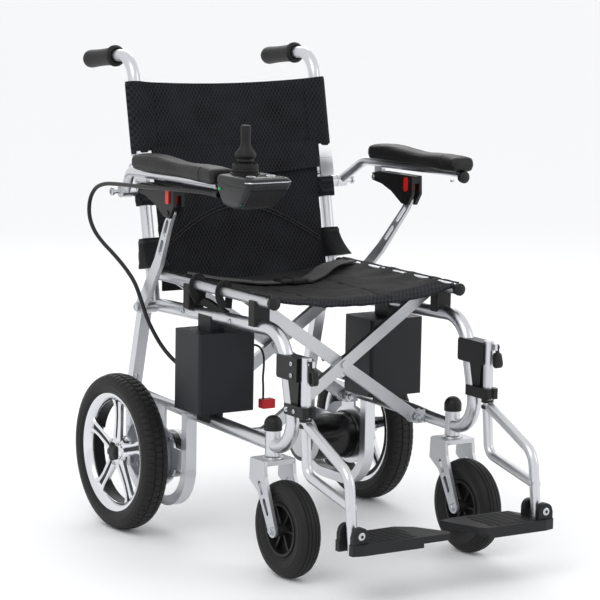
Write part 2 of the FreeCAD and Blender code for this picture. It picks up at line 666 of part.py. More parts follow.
def caster_fork():
    y, z = caster_axle_y(), CASTER_R
    crown = rounded_box((CASTER_X - FORK_INNER - FORK_LEG, STEM_Y - 30, CROWN_Z - CROWN_THICK),
                        (CASTER_X + FORK_INNER + FORK_LEG, STEM_Y + 28, CROWN_Z), 10, Z_AXIS)
    outline = [(STEM_Y + 24, CROWN_Z - 1), (STEM_Y - 26, CROWN_Z - 1), (STEM_Y - 30, CROWN_Z - 30),
               (y - 12, z + 5), (y + 12, z - 5), (STEM_Y - 6, CROWN_Z - 62),
               (STEM_Y + 26, CROWN_Z - 42)]
    legs = []
    for side in (-1, 1):
        ends = sorted((CASTER_X + side * FORK_INNER, CASTER_X + side * (FORK_INNER + FORK_LEG)))
        leg = plate(outline, *ends).fuse(along_x(*ends, y, z, 13))
        direction = math.atan2(CROWN_Z - 40 - z, STEM_Y - 8 - y)
        slots = []
        for reach, length in ((34, 26), (76, 20)):
            low = (y + reach * math.cos(direction), z + reach * math.sin(direction))
            high = (low[0] + length * math.cos(direction), low[1] + length * math.sin(direction))
            slots.append(link_plate([low, high], (4.0, 5.0), *ends))
        legs.append(leg.cut(Part.makeCompound(slots)))
    stem = cylinder(V(CASTER_X, STEM_Y, CROWN_Z - 2), Z_AXIS, STEM_R, HEAD_Z[1] - CROWN_Z)
    collar = cylinder(V(CASTER_X, STEM_Y, CROWN_Z - 1), Z_AXIS, STEM_R + 4, 4)
    axle = along_x(CASTER_X - FORK_INNER - FORK_LEG - 3, CASTER_X + FORK_INNER + FORK_LEG + 3,
                   y, z, PIN_R)
    heads = [along_x(CASTER_X + side * (FORK_INNER + FORK_LEG) - 3,
                     CASTER_X + side * (FORK_INNER + FORK_LEG) + 3, y, z, 8) for side in (-1, 1)]
    return fused([crown] + legs + [stem, collar, axle] + heads)


def caster_tyre():
    half = CASTER_WIDE / 2
    profile = [(-half + 6, CASTER_HUB_R), (-half + 1, CASTER_HUB_R + 8), (-half, CASTER_R - 24),
               (-half + 3, CASTER_R - 10), (-half + 10, CASTER_R - 2), (-half + 16, CASTER_R),
               (half - 16, CASTER_R), (half - 10, CASTER_R - 2), (half - 3, CASTER_R - 10),
               (half, CASTER_R - 24), (half - 1, CASTER_HUB_R + 8), (half - 6, CASTER_HUB_R)]
    return revolved_x(profile, CASTER_X, caster_axle_y(), CASTER_R)


def caster_hub():
    half = CASTER_WIDE / 2 - 6
    y, z = caster_axle_y(), CASTER_R
    ring = along_x(CASTER_X - half, CASTER_X + half, y, z, CASTER_HUB_R)
    ring = ring.cut(along_x(CASTER_X - half, CASTER_X + half, y, z, CASTER_HUB_R - 6))
    web = along_x(CASTER_X - 3, CASTER_X + 3, y, z, CASTER_HUB_R - 5)
    boss = along_x(CASTER_X - 26, CASTER_X + 26, y, z, 12)
    ribs = []
    for index in range(6):
        angle = index * math.tau / 6
        outline = [(8, -2.5), (CASTER_HUB_R - 5, -2.5), (CASTER_HUB_R - 5, 2.5), (8, 2.5)]
        turned = [(y + u * math.cos(angle) - v * math.sin(angle),
                   z + u * math.sin(angle) + v * math.cos(angle)) for u, v in outline]
        ribs.append(plate(turned, CASTER_X - half + 6, CASTER_X + half - 6))
    bore = along_x(CASTER_X - 30, CASTER_X + 30, y, z, PIN_R + RUN_CLEAR)
    return fused([ring, web, boss] + ribs).cut(bore)


# ---------------------------------------------------------------- leg rest
def hanger():
    x = FRAME_X
    main_points = in_plane(x, [(HANGER_Y, HANGER_TOP), (HANGER_Y, HANGER_KNEE[1]),
                               HANGER_SHIN, HANGER_FOOT])
    main, main_bore = tube(main_points, [HANGER_KNEE_R, 45.0], HANGER_R, TUBE_WALL)
    branch_points = in_plane(x, [(HANGER_Y, 300.0), BRANCH_BEND, BRANCH_END])
    branch, branch_bore = tube(branch_points, [26.0], HANGER_R - 0.5, TUBE_WALL)
    knee_fill = Part.makeSphere(HANGER_R, V(x, HANGER_Y, 300.0))
    pin_bore = cylinder(V(FOOT_PIN[0], FOOT_PIN[1] - 20, FOOT_PIN[2]), Y_AXIS,
                        FOOT_PIN_R + RUN_CLEAR, 40)
    lever_y, lever_z = LEVER_PIVOT
    tab = box((x - LEVER_TAB_HALF, lever_y - 5, lever_z - 6),
              (x + LEVER_TAB_HALF, HANGER_Y - HANGER_R + 4, lever_z + 6))
    lever_pin = along_x(x - LEVER_TAB_HALF, x + LEVER_TAB_HALF + LEVER_THICK + 1.5,
                        lever_y, lever_z, LEVER_PIN_R)
    body = fused([main, branch, knee_fill])
    shell = body.cut(main_bore.fuse(branch_bore)).cut(pin_bore)
    return fused([shell, tab, lever_pin])


def hanger_bracket():
    """Upper cradle with its gusset and the lower clamp that hold the leg rest on the post."""
    x, half = FRAME_X, BRACKET_HALF
    top = rounded_box((x - half, HANGER_Y - 1, 386.0), (x + half, -474.0, 431.0), 6, X_AXIS)
    gusset = plate([(-541.0, 330.0), (-512.0, 330.0), (-508.0, 350.0), (-500.0, 392.0),
                    (-545.0, 392.0)], x - 9, x + 9)
    clamp = rounded_box((x - half, -573.0, 320.0), (x + half, -500.0, 341.0), 5, Z_AXIS)
    body = fused([top, gusset, clamp]).cut(rail_outline())
    bore = cylinder(V(x, HANGER_Y, 280), Z_AXIS, HANGER_R + RUN_CLEAR, 200)
    slot = box((x - 3, HANGER_Y - 40, 319.0), (x + 3, HANGER_Y, 342.0))
    swing_room = box((x + HANGER_R - 1, HANGER_Y - 2, 380.0), (x + half + 1, -545.0, 440.0))
    pieces = body.cut(bore).cut(slot).cut(swing_room).Solids
    return Part.makeCompound([max(pieces, key=lambda solid: solid.Volume)])


def hanger_lever():
    """A finger loop at the top of the leg rest tube, which releases it."""
    near = FRAME_X + LEVER_TAB_HALF + SLIP
    far = near + LEVER_THICK
    lever_y, lever_z = LEVER_PIVOT
    hub = along_x(near, far, lever_y, lever_z, 6.0)
    arm = box((near, lever_y - 5, lever_z - 16), (far, lever_y + 3, lever_z))
    ends = [(lever_y - 6, lever_z - 18), (lever_y - 8, lever_z - 30)]
    loop = link_plate(ends, (8.5, 10.0), FRAME_X - 4, far)
    hole = link_plate(ends, (4.5, 6.0), FRAME_X - 4, far)
    bore = along_x(near - 1, far + 1, lever_y, lever_z, LEVER_PIN_R + RUN_CLEAR)
    return fused([hub, arm, loop]).cut(hole).cut(bore)


def footplate(outline):
    """A moulded plate, hollow below, with two lugs that straddle the shin tube."""
    x, y, z = FOOT_PIN
    bottom = FOOT_TOP - FOOT_THICK
    corners = [V(corner_x, corner_y, bottom) for corner_x, corner_y in outline]
    slab = Part.Face(Part.makePolygon(corners + corners[:1])).extrude(V(0, 0, FOOT_THICK))
    pocket = box((*FOOT_POCKET[0], bottom), (*FOOT_POCKET[1], FOOT_TOP - 6))
    step = box((0, -800, bottom), (FOOT_STEP_X, -600, FOOT_TOP - FOOT_EDGE))
    notch = box((x - HANGER_R - FOOT_NOTCH, y - LUG_GAP, bottom - 1),
                (x + 40, y + LUG_GAP, FOOT_TOP + 1))
    body = slab.cut(pocket).cut(step).cut(notch)
    lugs = []
    for side in (-1, 1):
        low_y, high_y = sorted((y + side * LUG_GAP, y + side * (LUG_GAP + LUG_THICK)))
        lugs.append(cylinder(V(x, low_y, z), Y_AXIS, LUG_R, LUG_THICK))
        lugs.append(box((x - LUG_R, low_y, bottom), (x + FOOT_LUG_HALF, high_y, z)))
    pin = cylinder(V(x, y - LUG_GAP - LUG_THICK - 2, z), Y_AXIS, FOOT_PIN_R,
                   2 * (LUG_GAP + LUG_THICK) + 4)
    return fused([body] + lugs + [pin])


# ---------------------------------------------------------------- battery
def battery():
    """A removable pack: hook on the upper rail, foot on the lower rail, cell block inside."""
    low = (BATTERY_X[0], BATTERY_Y[0], BATTERY_Z[0])
    high = (BATTERY_X[1], BATTERY_Y[1], BATTERY_Z[1])
    space = box([v + BATTERY_WALL for v in low], [v - BATTERY_WALL for v in high])
    shell = rounded_box(low, high, 7, Z_AXIS).cut(space)
    half_x, half_y = HOOK_HALF
    y_middle = sum(BATTERY_Y) / 2
    outline = rail_outline()
    holders = []
    for z_from, z_to in ((high[2], HOOK_TOP), (FOOT_BOTTOM, low[2])):
        holder = box((FRAME_X - half_x, y_middle - half_y, z_from),
                     (FRAME_X + half_x, y_middle + half_y, z_to))
        holders.append(holder.cut(outline))
    shell = fused([shell] + holders)
    shell = max(shell.Solids, key=lambda solid: solid.Volume)
    inner = BATTERY_WALL + CELL_GAP
    cells = box([v + inner for v in low], [v - inner for v in high])
    return Part.makeCompound([shell, cells])


# ---------------------------------------------------------------- armrest
def armrest_tube():
    eye_x = sum(ARM_EYE_X) / 2
    points = [V(eye_x, *ARM_PIVOT), V(ARM_X, *ARM_BEND), V(ARM_X, *ARM_FRONT)]
    outer, bore = tube(points, [45.0], ARM_R, TUBE_WALL)
    eye = along_x(*ARM_EYE_X, *ARM_PIVOT, 13.0)
    y, z = BRACKET_PIVOT
    tab = box((ARM_X - 5, y - 14, z - 8), (ARM_X + 5, y + 12, z + 24))
    cap = arm_cap(ARM_CAP_R)
    body = fused([outer, eye, tab, cap])
    straight = bore.cut(tab)
    pin_bore = along_x(ARM_EYE_X[0] - 5, ARM_EYE_X[1] + 5, *ARM_PIVOT, PIN_R + RUN_CLEAR)
    tab_bore = along_x(ARM_X - 10, ARM_X + 10, y, z, 3 + RUN_CLEAR)
    return body.cut(straight.cut(eye).cut(cap)).cut(pin_bore).cut(tab_bore)


def arm_cap(radius):
    """Round cover on the front end of the arm tube."""
    return cylinder(V(ARM_X, ARM_FRONT[0] - 4, ARM_FRONT[1]), Y_AXIS, radius, 14)


def armrest_pad(front):
    """A pad that drapes over the upper half of the arm tube."""
    low = (ARM_X - PAD_HALF, front, PAD_Z[0])
    high = (ARM_X + PAD_HALF, PAD_REAR, PAD_Z[1])
    pad = rounded_box(low, high, 10, Y_AXIS)
    return pad.cut(arm_outline().fuse(arm_cap(ARM_CAP_R + 0.1)))


def arm_outline():
    eye_x = sum(ARM_EYE_X) / 2
    points = [V(eye_x, *ARM_PIVOT), V(ARM_X, *ARM_BEND), V(ARM_X, *ARM_FRONT)]
    return swept_round(points, [45.0], ARM_R)


def bracket_outline():
    (rear_y, rear_z), (low_y, low_z) = BRACKET_PIVOT, LINK_TOP
    return [(rear_y + 9, rear_z + 8), (rear_y + 9, rear_z - 7), (rear_y - 26, rear_z - 12),
            (rear_y - 62, rear_z - 24), (low_y + 14, low_z - 8), (low_y - 8, low_z - 10),
            (low_y - 24, low_z + 14), (low_y - 22, rear_z + 14), (rear_y - 16, rear_z + 13)]


def armrest_bracket():
    """Two side plates joined over the link, pivoted on the tab under the arm tube."""
    y, z = BRACKET_PIVOT
    walls = []
    for side in (-1, 1):
        ends = sorted((ARM_X + side * BRACKET_GAP, ARM_X + side * (BRACKET_GAP + BRACKET_WALL)))
        walls.append(plate(bracket_outline(), *ends))
    outer = BRACKET_GAP + BRACKET_WALL
    bridge = box((ARM_X - outer, LINK_TOP[0] - 22, LINK_TOP[1] + 36),
                 (ARM_X + outer, LINK_TOP[0] + 40, z + 13))
    pin = along_x(ARM_X - outer - 2, ARM_X + outer + 2, y, z, 3.0)
    caps = [along_x(ARM_X + side * outer - 2, ARM_X + side * outer + 2, *LINK_TOP, 6.0)
            for side in (-1, 1)]
    inner = box((ARM_X - BRACKET_GAP, -400, 500), (ARM_X + BRACKET_GAP, 200, LINK_TOP[1] + 20))
    bore = button_outline(BUTTON_HALF + RUN_CLEAR, outer + 10)
    return fused(walls + [bridge, pin] + caps).cut(inner).fuse(pin).cut(bore).removeSplitter()


def button_outline(radius, half):
    """An oval bar along X."""
    y, z = BUTTON_AT
    ends = [(y, z - BUTTON_RISE), (y, z + BUTTON_RISE)]
    return link_plate(ends, (radius, radius - 0.01), ARM_X - half, ARM_X + half)


def armrest_button():
    """A push bar with an oval head each side that frees the bracket."""
    return button_outline(BUTTON_HALF, BRACKET_GAP + BRACKET_WALL + BUTTON_PROUD)


def armrest_link():
    """A cast arm that rises from the frame pivot, bends at its knee and ends in the bracket."""
    low, high = LINK_FOOT_X[0] - 5, ARM_X + 10
    half, half_top = LINK_WIDE / 2, LINK_WIDE / 2 - 3
    side = fused([link_plate([LINK_FOOT, LINK_KNEE], (half + 1, half), low, high),
                  link_plate([LINK_KNEE, LINK_TOP], (half, half_top), low, high)])
    for share_low, share_high in ((0.20, 0.42), (0.58, 0.82)):
        ends = [tuple(k + (t - k) * share for k, t in zip(LINK_KNEE, LINK_TOP))
                for share in (share_low, share_high)]
        side = side.cut(link_plate(ends, (5.0, 4.5), low, high))
    in_x = [LINK_FOOT_X[0], LINK_FOOT_X[0], ARM_X - LINK_HALF, ARM_X - LINK_HALF]
    out_x = [LINK_FOOT_X[1], LINK_FOOT_X[1], ARM_X + LINK_HALF, ARM_X + LINK_HALF]
    heights = [LINK_FOOT[1] - 40, LINK_FOOT[1] + 25, LINK_TOP[1] - 20, LINK_TOP[1] + 40]
    corners = [V(x, -300, z) for x, z in zip(in_x, heights)]
    corners += [V(x, -300, z) for x, z in zip(reversed(out_x), reversed(heights))]
    bent = Part.Face(Part.makePolygon(corners + corners[:1])).extrude(V(0, 400, 0))
    bore = along_x(low, high, *LINK_FOOT, PIN_R + RUN_CLEAR)
    return side.common(bent).cut(bore)


# ---------------------------------------------------------------- controller
def controller_outline():
    """Side view of the wedge-shaped housing."""
    return [(CONTROL_REAR, 715.0), (CONTROL_REAR, 757.0), (CONTROL_REAR - 12, CONTROL_TOP),
            (CONTROL_FRONT + 8, CONTROL_TOP), (CONTROL_FRONT, CONTROL_TOP - 6),
            (CONTROL_FRONT, CONTROL_TOP - 16), (CONTROL_FRONT + 34, 704.0),
            (CONTROL_REAR - 30, 700.0)]


def controller_housing():
    low_x, high_x = CONTROL_X - CONTROL_HALF, CONTROL_X + CONTROL_HALF
    body = plate(controller_outline(), low_x, high_x)
    cavity = box((low_x + 6, CONTROL_FRONT + 40, 708.0), (high_x - 6, CONTROL_REAR - 34, 748.0))
    well = cylinder(V(CONTROL_X, STICK_Y, 745.0), Z_AXIS, WELL_R, CONTROL_TOP - 744.0)
    trunnions = along_x(CONTROL_X - WELL_R - 5, CONTROL_X + WELL_R + 5, STICK_Y, STICK_PIVOT_Z,
                        TRUNNION_R + RUN_CLEAR)
    buttons = [cylinder(V(*place, CONTROL_TOP - 5), Z_AXIS, BUTTON_R + 0.15, 10)
               for place in (POWER_AT, HORN_AT)]
    clamp = box((-ARM_X - 9, CONTROL_REAR - 6, 732.0), (-ARM_X + 9, ARM_FRONT[0] - 4, 752.0))
    shell = fused([body, clamp]).cut(Part.makeCompound([cavity, well, trunnions] + buttons))
    return fused([shell] + board_posts())


def circuit_board():
    return box((CONTROL_X - CONTROL_HALF + 12, CONTROL_FRONT + 46, 712.0),
               (CONTROL_X + CONTROL_HALF - 12, CONTROL_REAR - 40, 714.0))


def board_posts():
    return [cylinder(V(CONTROL_X + dx, STICK_Y + dy, 707.0), Z_AXIS, 2.5, 5.0)
            for dx in (-30, 30) for dy in (-40, -10)]


def gimbal():
    centre = V(CONTROL_X, STICK_Y, STICK_PIVOT_Z)
    ring = cylinder(centre - Z_AXIS * 3, Z_AXIS, GIMBAL_R, 6)
    space = cylinder(centre - Z_AXIS * 3, Z_AXIS, GIMBAL_R - 5, 6)
    stubs = [along_x(*sorted((CONTROL_X + side * (GIMBAL_R - 3), CONTROL_X + side * (WELL_R + 4))),
                     STICK_Y, STICK_PIVOT_Z, TRUNNION_R) for side in (-1, 1)]
    bore = cylinder(centre - Y_AXIS * 20, Y_AXIS, 1.5 + RUN_CLEAR, 40)
    return fused([ring.cut(space)] + stubs).cut(bore)


def joystick():
    """Knob, bellows boot and shaft, tilting in the gimbal ring."""
    x, y, z = CONTROL_X, STICK_Y, STICK_PIVOT_Z
    base = CONTROL_TOP + 3
    profile = [(0, z - 5), (4.5, z - 5), (4.5, base - 3), (16.0, base - 3), (17.0, base + 3),
               (15.5, base + 7), (16.5, base + 11), (14.0, base + 16), (10.0, base + 28),
               (7.5, base + 34), (8.5, base + 62), (9.5, STICK_TOP), (0, STICK_TOP)]
    points = [V(x + r, y, h) for r, h in profile]
    face = Part.Face(Part.makePolygon(points + points[:1]))
    body = face.revolve(V(x, y, 0), Z_AXIS, 360)
    pin = cylinder(V(x, y - 11, z), Y_AXIS, 1.5, 22)
    return fused([body, pin])


def top_button(place):
    x, y = place
    return cylinder(V(x, y, CONTROL_TOP - 3.5), Z_AXIS, BUTTON_R, 5.0)


# ---------------------------------------------------------------- cables
CONTROL_CABLE = [(-300, -373.7, 725), (-302, -330, 725), (-306, -276, 723), (-309, -218, 720),
                 (-310, -159, 717), (-309, -100, 713), (-306, -40, 710), (-303, 16, 707),
                 (-303, 70, 703), (-303, 110, 691), (-303, 135, 665), (-302, 140, 630),
                 (-300, 122, 601), (-297, 88, 579), (-292, 50, 560), (-285, 14, 536),
                 (-277, -14, 508), (-271, -28, 474), (-266, -44, 438), (-255, -58, 406),
                 (-243, -70, 380), (-235, -94, 361), (-231, -126, 349), (-231, -156, 349)]
BATTERY_LEAD = [(-139, -236, 404), (-127, -236, 404), (-113, -236, 396), (-106, -236, 380),
                (-106, -237, 358), (-108, -236, 336), (-106, -236, 314), (-107, -237, 292)]


def cord(route, radius, name):
    points = [V(*point) for point in route]
    radii = []
    for before, corner, after in zip(points, points[1:], points[2:]):
        turn = (corner - before).getAngle(after - corner)
        shorter = min((corner - before).Length, (after - corner).Length)
        radii.append(0.45 * shorter / math.tan(turn / 2))
    path = bent_wire(points, radii)
    section = Part.Wire(Part.makeCircle(radius, points[0], points[1] - points[0]))
    solid = path.makePipeShell([section], True, False)
    expected = math.pi * radius ** 2 * path.Length
    print(f"{name}: length {path.Length:.0f}, tightest radius {min(radii):.0f}, "
          f"volume ratio {solid.Volume / expected:.4f}")
    return solid


def battery_plug():
    x, y, z = BATTERY_LEAD[-1]
    return rounded_box((x - 6, y - 8, z - 19), (x + 24, y + 8, z), 2.5, Y_AXIS)


# ---------------------------------------------------------------- all nodes
def sided_nodes():
    return {
        "gearcase": gearcase(),
        "battery": battery(),
        "saddles": saddles(),
        "hanger_bracket": hanger_bracket(),
        "hanger_lever": hanger_lever(),
        "stem_cap": stem_cap(),
        "rear_tyre": rear_tyre(),
        "rear_rim": rear_rim(),
        "caster_fork": caster_fork(),
        "caster_tyre": caster_tyre(),
        "caster_hub": caster_hub(),
        "hanger": hanger(),
        "handle_tube": handle_tube(),
        "grip": grip(),
        "back_lever": back_lever(),
        "armrest_tube": armrest_tube(),
        "armrest_bracket": armrest_bracket(),
        "armrest_button": armrest_button(),
        "armrest_link": armrest_link(),
    }


def single_nodes():
    bar_offset = (BAR_THICK + BAR_GAP) / 2
    return {
        "frame_left": frame(1),
        "frame_right": mirrored(frame(-1)),
        "motor_left": motor(MOTOR_IN_LEFT),
        "motor_right": mirrored(motor(MOTOR_IN_RIGHT)),
        "footplate_left": footplate(FOOT_OUTLINE_LEFT),
        "footplate_right": mirrored(footplate(FOOT_OUTLINE_RIGHT)),
        "armrest_pad_left": armrest_pad(PAD_FRONT_LEFT),
        "armrest_pad_right": mirrored(armrest_pad(PAD_FRONT_RIGHT)),
        "brace_a": brace(-bar_offset, True),
        "brace_b": mirrored(brace(bar_offset, False)),
        "seat_fabric": seat_fabric(),
        "back_fabric_upper": back_fabric_upper(),
        "back_fabric_lower": back_fabric_lower(),
        "controller_housing": controller_housing(),
        "circuit_board": circuit_board(),
        "gimbal": gimbal(),
        "joystick": joystick(),
        "power_button": top_button(POWER_AT),
        "horn_button": top_button(HORN_AT),
        "control_cable": cord(CONTROL_CABLE, CONTROL_CABLE_R, "control cable"),
        "battery_lead": cord(BATTERY_LEAD, LEAD_R, "battery lead"),
        "battery_plug": battery_plug(),
    }


def all_nodes():
    nodes = single_nodes()
    for name, shape in sided_nodes().items():
        nodes[name + "_left"] = shape
        nodes[name + "_right"] = mirrored(shape)
    for shape in nodes.values():
        shape.translate(V(0, DEPTH_SHIFT, 0))
    return nodes


def main():
    os.makedirs("parts", exist_ok=True)
    nodes = all_nodes()
    for name, shape in nodes.items():
        shape.exportStep(f"parts/{name}.step")
        print(f"{name}: {len(shape.Solids)} solids, {shape.Volume / 1000:.1f} cm3, "
              f"valid {shape.isValid()}")
    print(len(nodes), "nodes")


main()
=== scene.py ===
import math

import bmesh
import bpy
from mathutils import Matrix, Vector, noise


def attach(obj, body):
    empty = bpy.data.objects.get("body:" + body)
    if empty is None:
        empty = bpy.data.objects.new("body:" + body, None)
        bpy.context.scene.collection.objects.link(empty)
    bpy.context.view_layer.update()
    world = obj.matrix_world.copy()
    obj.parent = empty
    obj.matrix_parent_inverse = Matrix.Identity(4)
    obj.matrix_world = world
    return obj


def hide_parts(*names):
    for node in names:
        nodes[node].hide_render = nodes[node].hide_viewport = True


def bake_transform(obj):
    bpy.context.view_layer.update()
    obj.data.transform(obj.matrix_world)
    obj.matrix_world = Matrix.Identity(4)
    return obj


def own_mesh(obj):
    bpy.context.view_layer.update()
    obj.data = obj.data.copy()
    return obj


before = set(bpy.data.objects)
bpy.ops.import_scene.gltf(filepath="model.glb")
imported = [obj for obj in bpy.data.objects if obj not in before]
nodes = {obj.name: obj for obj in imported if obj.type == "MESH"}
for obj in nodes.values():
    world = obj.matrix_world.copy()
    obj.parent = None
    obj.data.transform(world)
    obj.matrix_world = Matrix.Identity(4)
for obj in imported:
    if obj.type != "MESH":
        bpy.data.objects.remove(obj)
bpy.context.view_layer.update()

DEPTH = 230.0             # the drawing's rear axle lies this far behind the middle of the base
SIDES = {"left": 1, "right": -1}
RECLINE = math.radians(11.75)
POST_X = 220.0
FRAME_X = 212.0
SEAT_TUBE_X = 217.0
ARM_X = 284.0
WHEEL_X, WHEEL_Z = 299.5, 160.0
MOTOR_Y, MOTOR_Z = -46.0, 155.0
MOTOR_IN = {"left": 105.0, "right": 185.0}


def P(x, y, z):
    """A point in drawing millimetres, with Y = 0 at the rear axle, as metres in the row frame."""
    return Vector((x / 1000, (y + DEPTH) / 1000, z / 1000))


# ---------------------------------------------------------------- camera, light and floor
def make_camera():
    az, el, roll = (math.radians(a) for a in (-32.50, 8.68, 1.002))
    back = Vector((math.sin(az) * math.cos(el), -math.cos(az) * math.cos(el), math.sin(el)))
    right = Vector((math.cos(az), math.sin(az), 0))
    up = back.cross(right)
    across = right * math.cos(roll) + up * math.sin(roll)
    upward = up * math.cos(roll) - right * math.sin(roll)
    cam = bpy.data.objects.new("camera", bpy.data.cameras.new("camera"))
    place = Vector((-2.82704, -4.58959 + DEPTH / 1000, 1.27169))
    cam.matrix_world = Matrix((
        (across.x, upward.x, back.x, place.x),
        (across.y, upward.y, back.y, place.y),
        (across.z, upward.z, back.z, place.z),
        (0, 0, 0, 1)))
    cam.data.lens = 156.68
    cam.data.sensor_width = 36
    cam.data.shift_x = 0.0216
    cam.data.shift_y = 0.0039
    cam.data.clip_end = 100
    bpy.context.scene.collection.objects.link(cam)
    bpy.context.scene.camera = cam


def area_light(name, place, size, power):
    """A soft panel of light turned to the middle of the chair."""
    data = bpy.data.lights.new(name, "AREA")
    data.shape = "RECTANGLE"
    data.size, data.size_y = size
    data.energy = power
    lamp = bpy.data.objects.new(name, data)
    lamp.location = place
    lamp.rotation_mode = "QUATERNION"
    aim = Vector((0, 0, 0.5)) - Vector(place)
    lamp.rotation_quaternion = aim.to_track_quat("-Z", "Y")
    bpy.context.scene.collection.objects.link(lamp)


def make_stage():
    world = bpy.data.worlds.new("world")
    world.use_nodes = True
    background = world.node_tree.nodes["Background"]
    background.inputs["Color"].default_value = (1.0, 1.0, 1.0, 1)
    background.inputs["Strength"].default_value = 1.0
    bpy.context.scene.world = world
    bpy.context.scene.view_settings.view_transform = "Standard"
    area_light("key", (-2.6, -1.6, 3.4), (2.2, 2.2), 36)
    area_light("fill", (2.9, -2.6, 1.9), (2.0, 2.4), 14)
    area_light("rim", (1.4, 3.0, 2.6), (2.4, 1.6), 24)
    bpy.ops.mesh.primitive_plane_add(size=60, location=(0, 0, -0.0002))
    floor = bpy.context.object
    floor.name = "floor"
    floor.data.materials.append(material("floor_paper", (0.93, 0.935, 0.95), 0.6,
                                         grain=((40, 0.01),), specular=0.2))


# ---------------------------------------------------------------- materials
def material(name, colour, rough, metal=0.0, grain=(), vary=0.0, vary_scale=30.0,
             rough_vary=0.0, sheen=0.0, specular=0.3, coat=0.0):
    """A principled material whose grain is a sum of noise bumps, each (scale, strength)."""
    made = bpy.data.materials.new(name)
    made.use_nodes = True
    tree = made.node_tree
    shader = tree.nodes["Principled BSDF"]
    shader.inputs["Base Color"].default_value = (*colour, 1)
    shader.inputs["Roughness"].default_value = rough
    shader.inputs["Metallic"].default_value = metal
    shader.inputs["Specular IOR Level"].default_value = specular
    shader.inputs["Sheen Weight"].default_value = sheen
    shader.inputs["Coat Weight"].default_value = coat
    place = tree.nodes.new("ShaderNodeTexCoord").outputs["Object"]
    if vary or rough_vary:
        clouds = noise_node(tree, place, vary_scale, 4)
        if vary:
            mix = tree.nodes.new("ShaderNodeMix")
            mix.data_type = "RGBA"
            mix.inputs["A"].default_value = (*(c * (1 - vary) for c in colour), 1)
            mix.inputs["B"].default_value = (*(min(1, c * (1 + vary)) for c in colour), 1)
            tree.links.new(clouds, mix.inputs["Factor"])
            tree.links.new(mix.outputs["Result"], shader.inputs["Base Color"])
        if rough_vary:
            spread = tree.nodes.new("ShaderNodeMapRange")
            spread.inputs["To Min"].default_value = rough - rough_vary
            spread.inputs["To Max"].default_value = rough + rough_vary
            tree.links.new(clouds, spread.inputs["Value"])
            tree.links.new(spread.outputs["Result"], shader.inputs["Roughness"])
    add_bumps(tree, shader, [(noise_node(tree, place, scale, 3), strength)
                             for scale, strength in grain])
    return made


def noise_node(tree, place, scale, detail):
    node = tree.nodes.new("ShaderNodeTexNoise")
    node.inputs["Scale"].default_value = scale
    node.inputs["Detail"].default_value = detail
    tree.links.new(place, node.inputs["Vector"])
    return node.outputs["Fac"]


def add_bumps(tree, shader, heights):
    last = None
    for height, strength in heights:
        bump = tree.nodes.new("ShaderNodeBump")
        bump.inputs["Strength"].default_value = strength
        bump.inputs["Distance"].default_value = 0.001
        tree.links.new(height, bump.inputs["Height"])
        if last:
            tree.links.new(last.outputs["Normal"], bump.inputs["Normal"])
        last = bump
    if last:
        tree.links.new(last.outputs["Normal"], shader.inputs["Normal"])


def calc(tree, operation, *values):
    node = tree.nodes.new("ShaderNodeMath")
    node.operation = operation
    for socket, value in zip(node.inputs, values):
        if isinstance(value, (int, float)):
            socket.default_value = value
        else:
            tree.links.new(value, socket)
    return node.outputs["Value"]


def weave(name, colour, light, axes, pitch, skew, rough, depth, sharp=1.0, sheen=0.3):
    """A woven or knitted cloth: a lattice of cells over two axes of the object's space."""
    made = material(name, colour, rough, sheen=sheen, specular=0.12)
    tree = made.node_tree
    shader = tree.nodes["Principled BSDF"]
    split = tree.nodes.new("ShaderNodeSeparateXYZ")
    place = tree.nodes.new("ShaderNodeTexCoord").outputs["Object"]
    tree.links.new(place, split.inputs["Vector"])
    u, v = (split.outputs[axis] for axis in axes)
    first = calc(tree, "SINE", calc(tree, "MULTIPLY", calc(tree, "ADD", u,
                 calc(tree, "MULTIPLY", v, skew)), math.pi / pitch))
    second = calc(tree, "SINE", calc(tree, "MULTIPLY", calc(tree, "SUBTRACT", u,
                  calc(tree, "MULTIPLY", v, skew)), math.pi / pitch))
    cell = calc(tree, "ABSOLUTE", calc(tree, "MULTIPLY", first, second))
    cell = calc(tree, "POWER", cell, sharp)
    clouds = noise_node(tree, place, 14, 3)
    shade = calc(tree, "MULTIPLY", cell, calc(tree, "ADD", clouds, 0.35))
    mix = tree.nodes.new("ShaderNodeMix")
    mix.data_type = "RGBA"
    mix.inputs["A"].default_value = (*light, 1)
    mix.inputs["B"].default_value = (*colour, 1)
    tree.links.new(shade, mix.inputs["Factor"])
    tree.links.new(mix.outputs["Result"], shader.inputs["Base Color"])
    threads = noise_node(tree, place, 1400, 2)
    height = calc(tree, "SUBTRACT", 1.0, cell)
    add_bumps(tree, shader, [(height, depth), (threads, 0.25)])
    return made


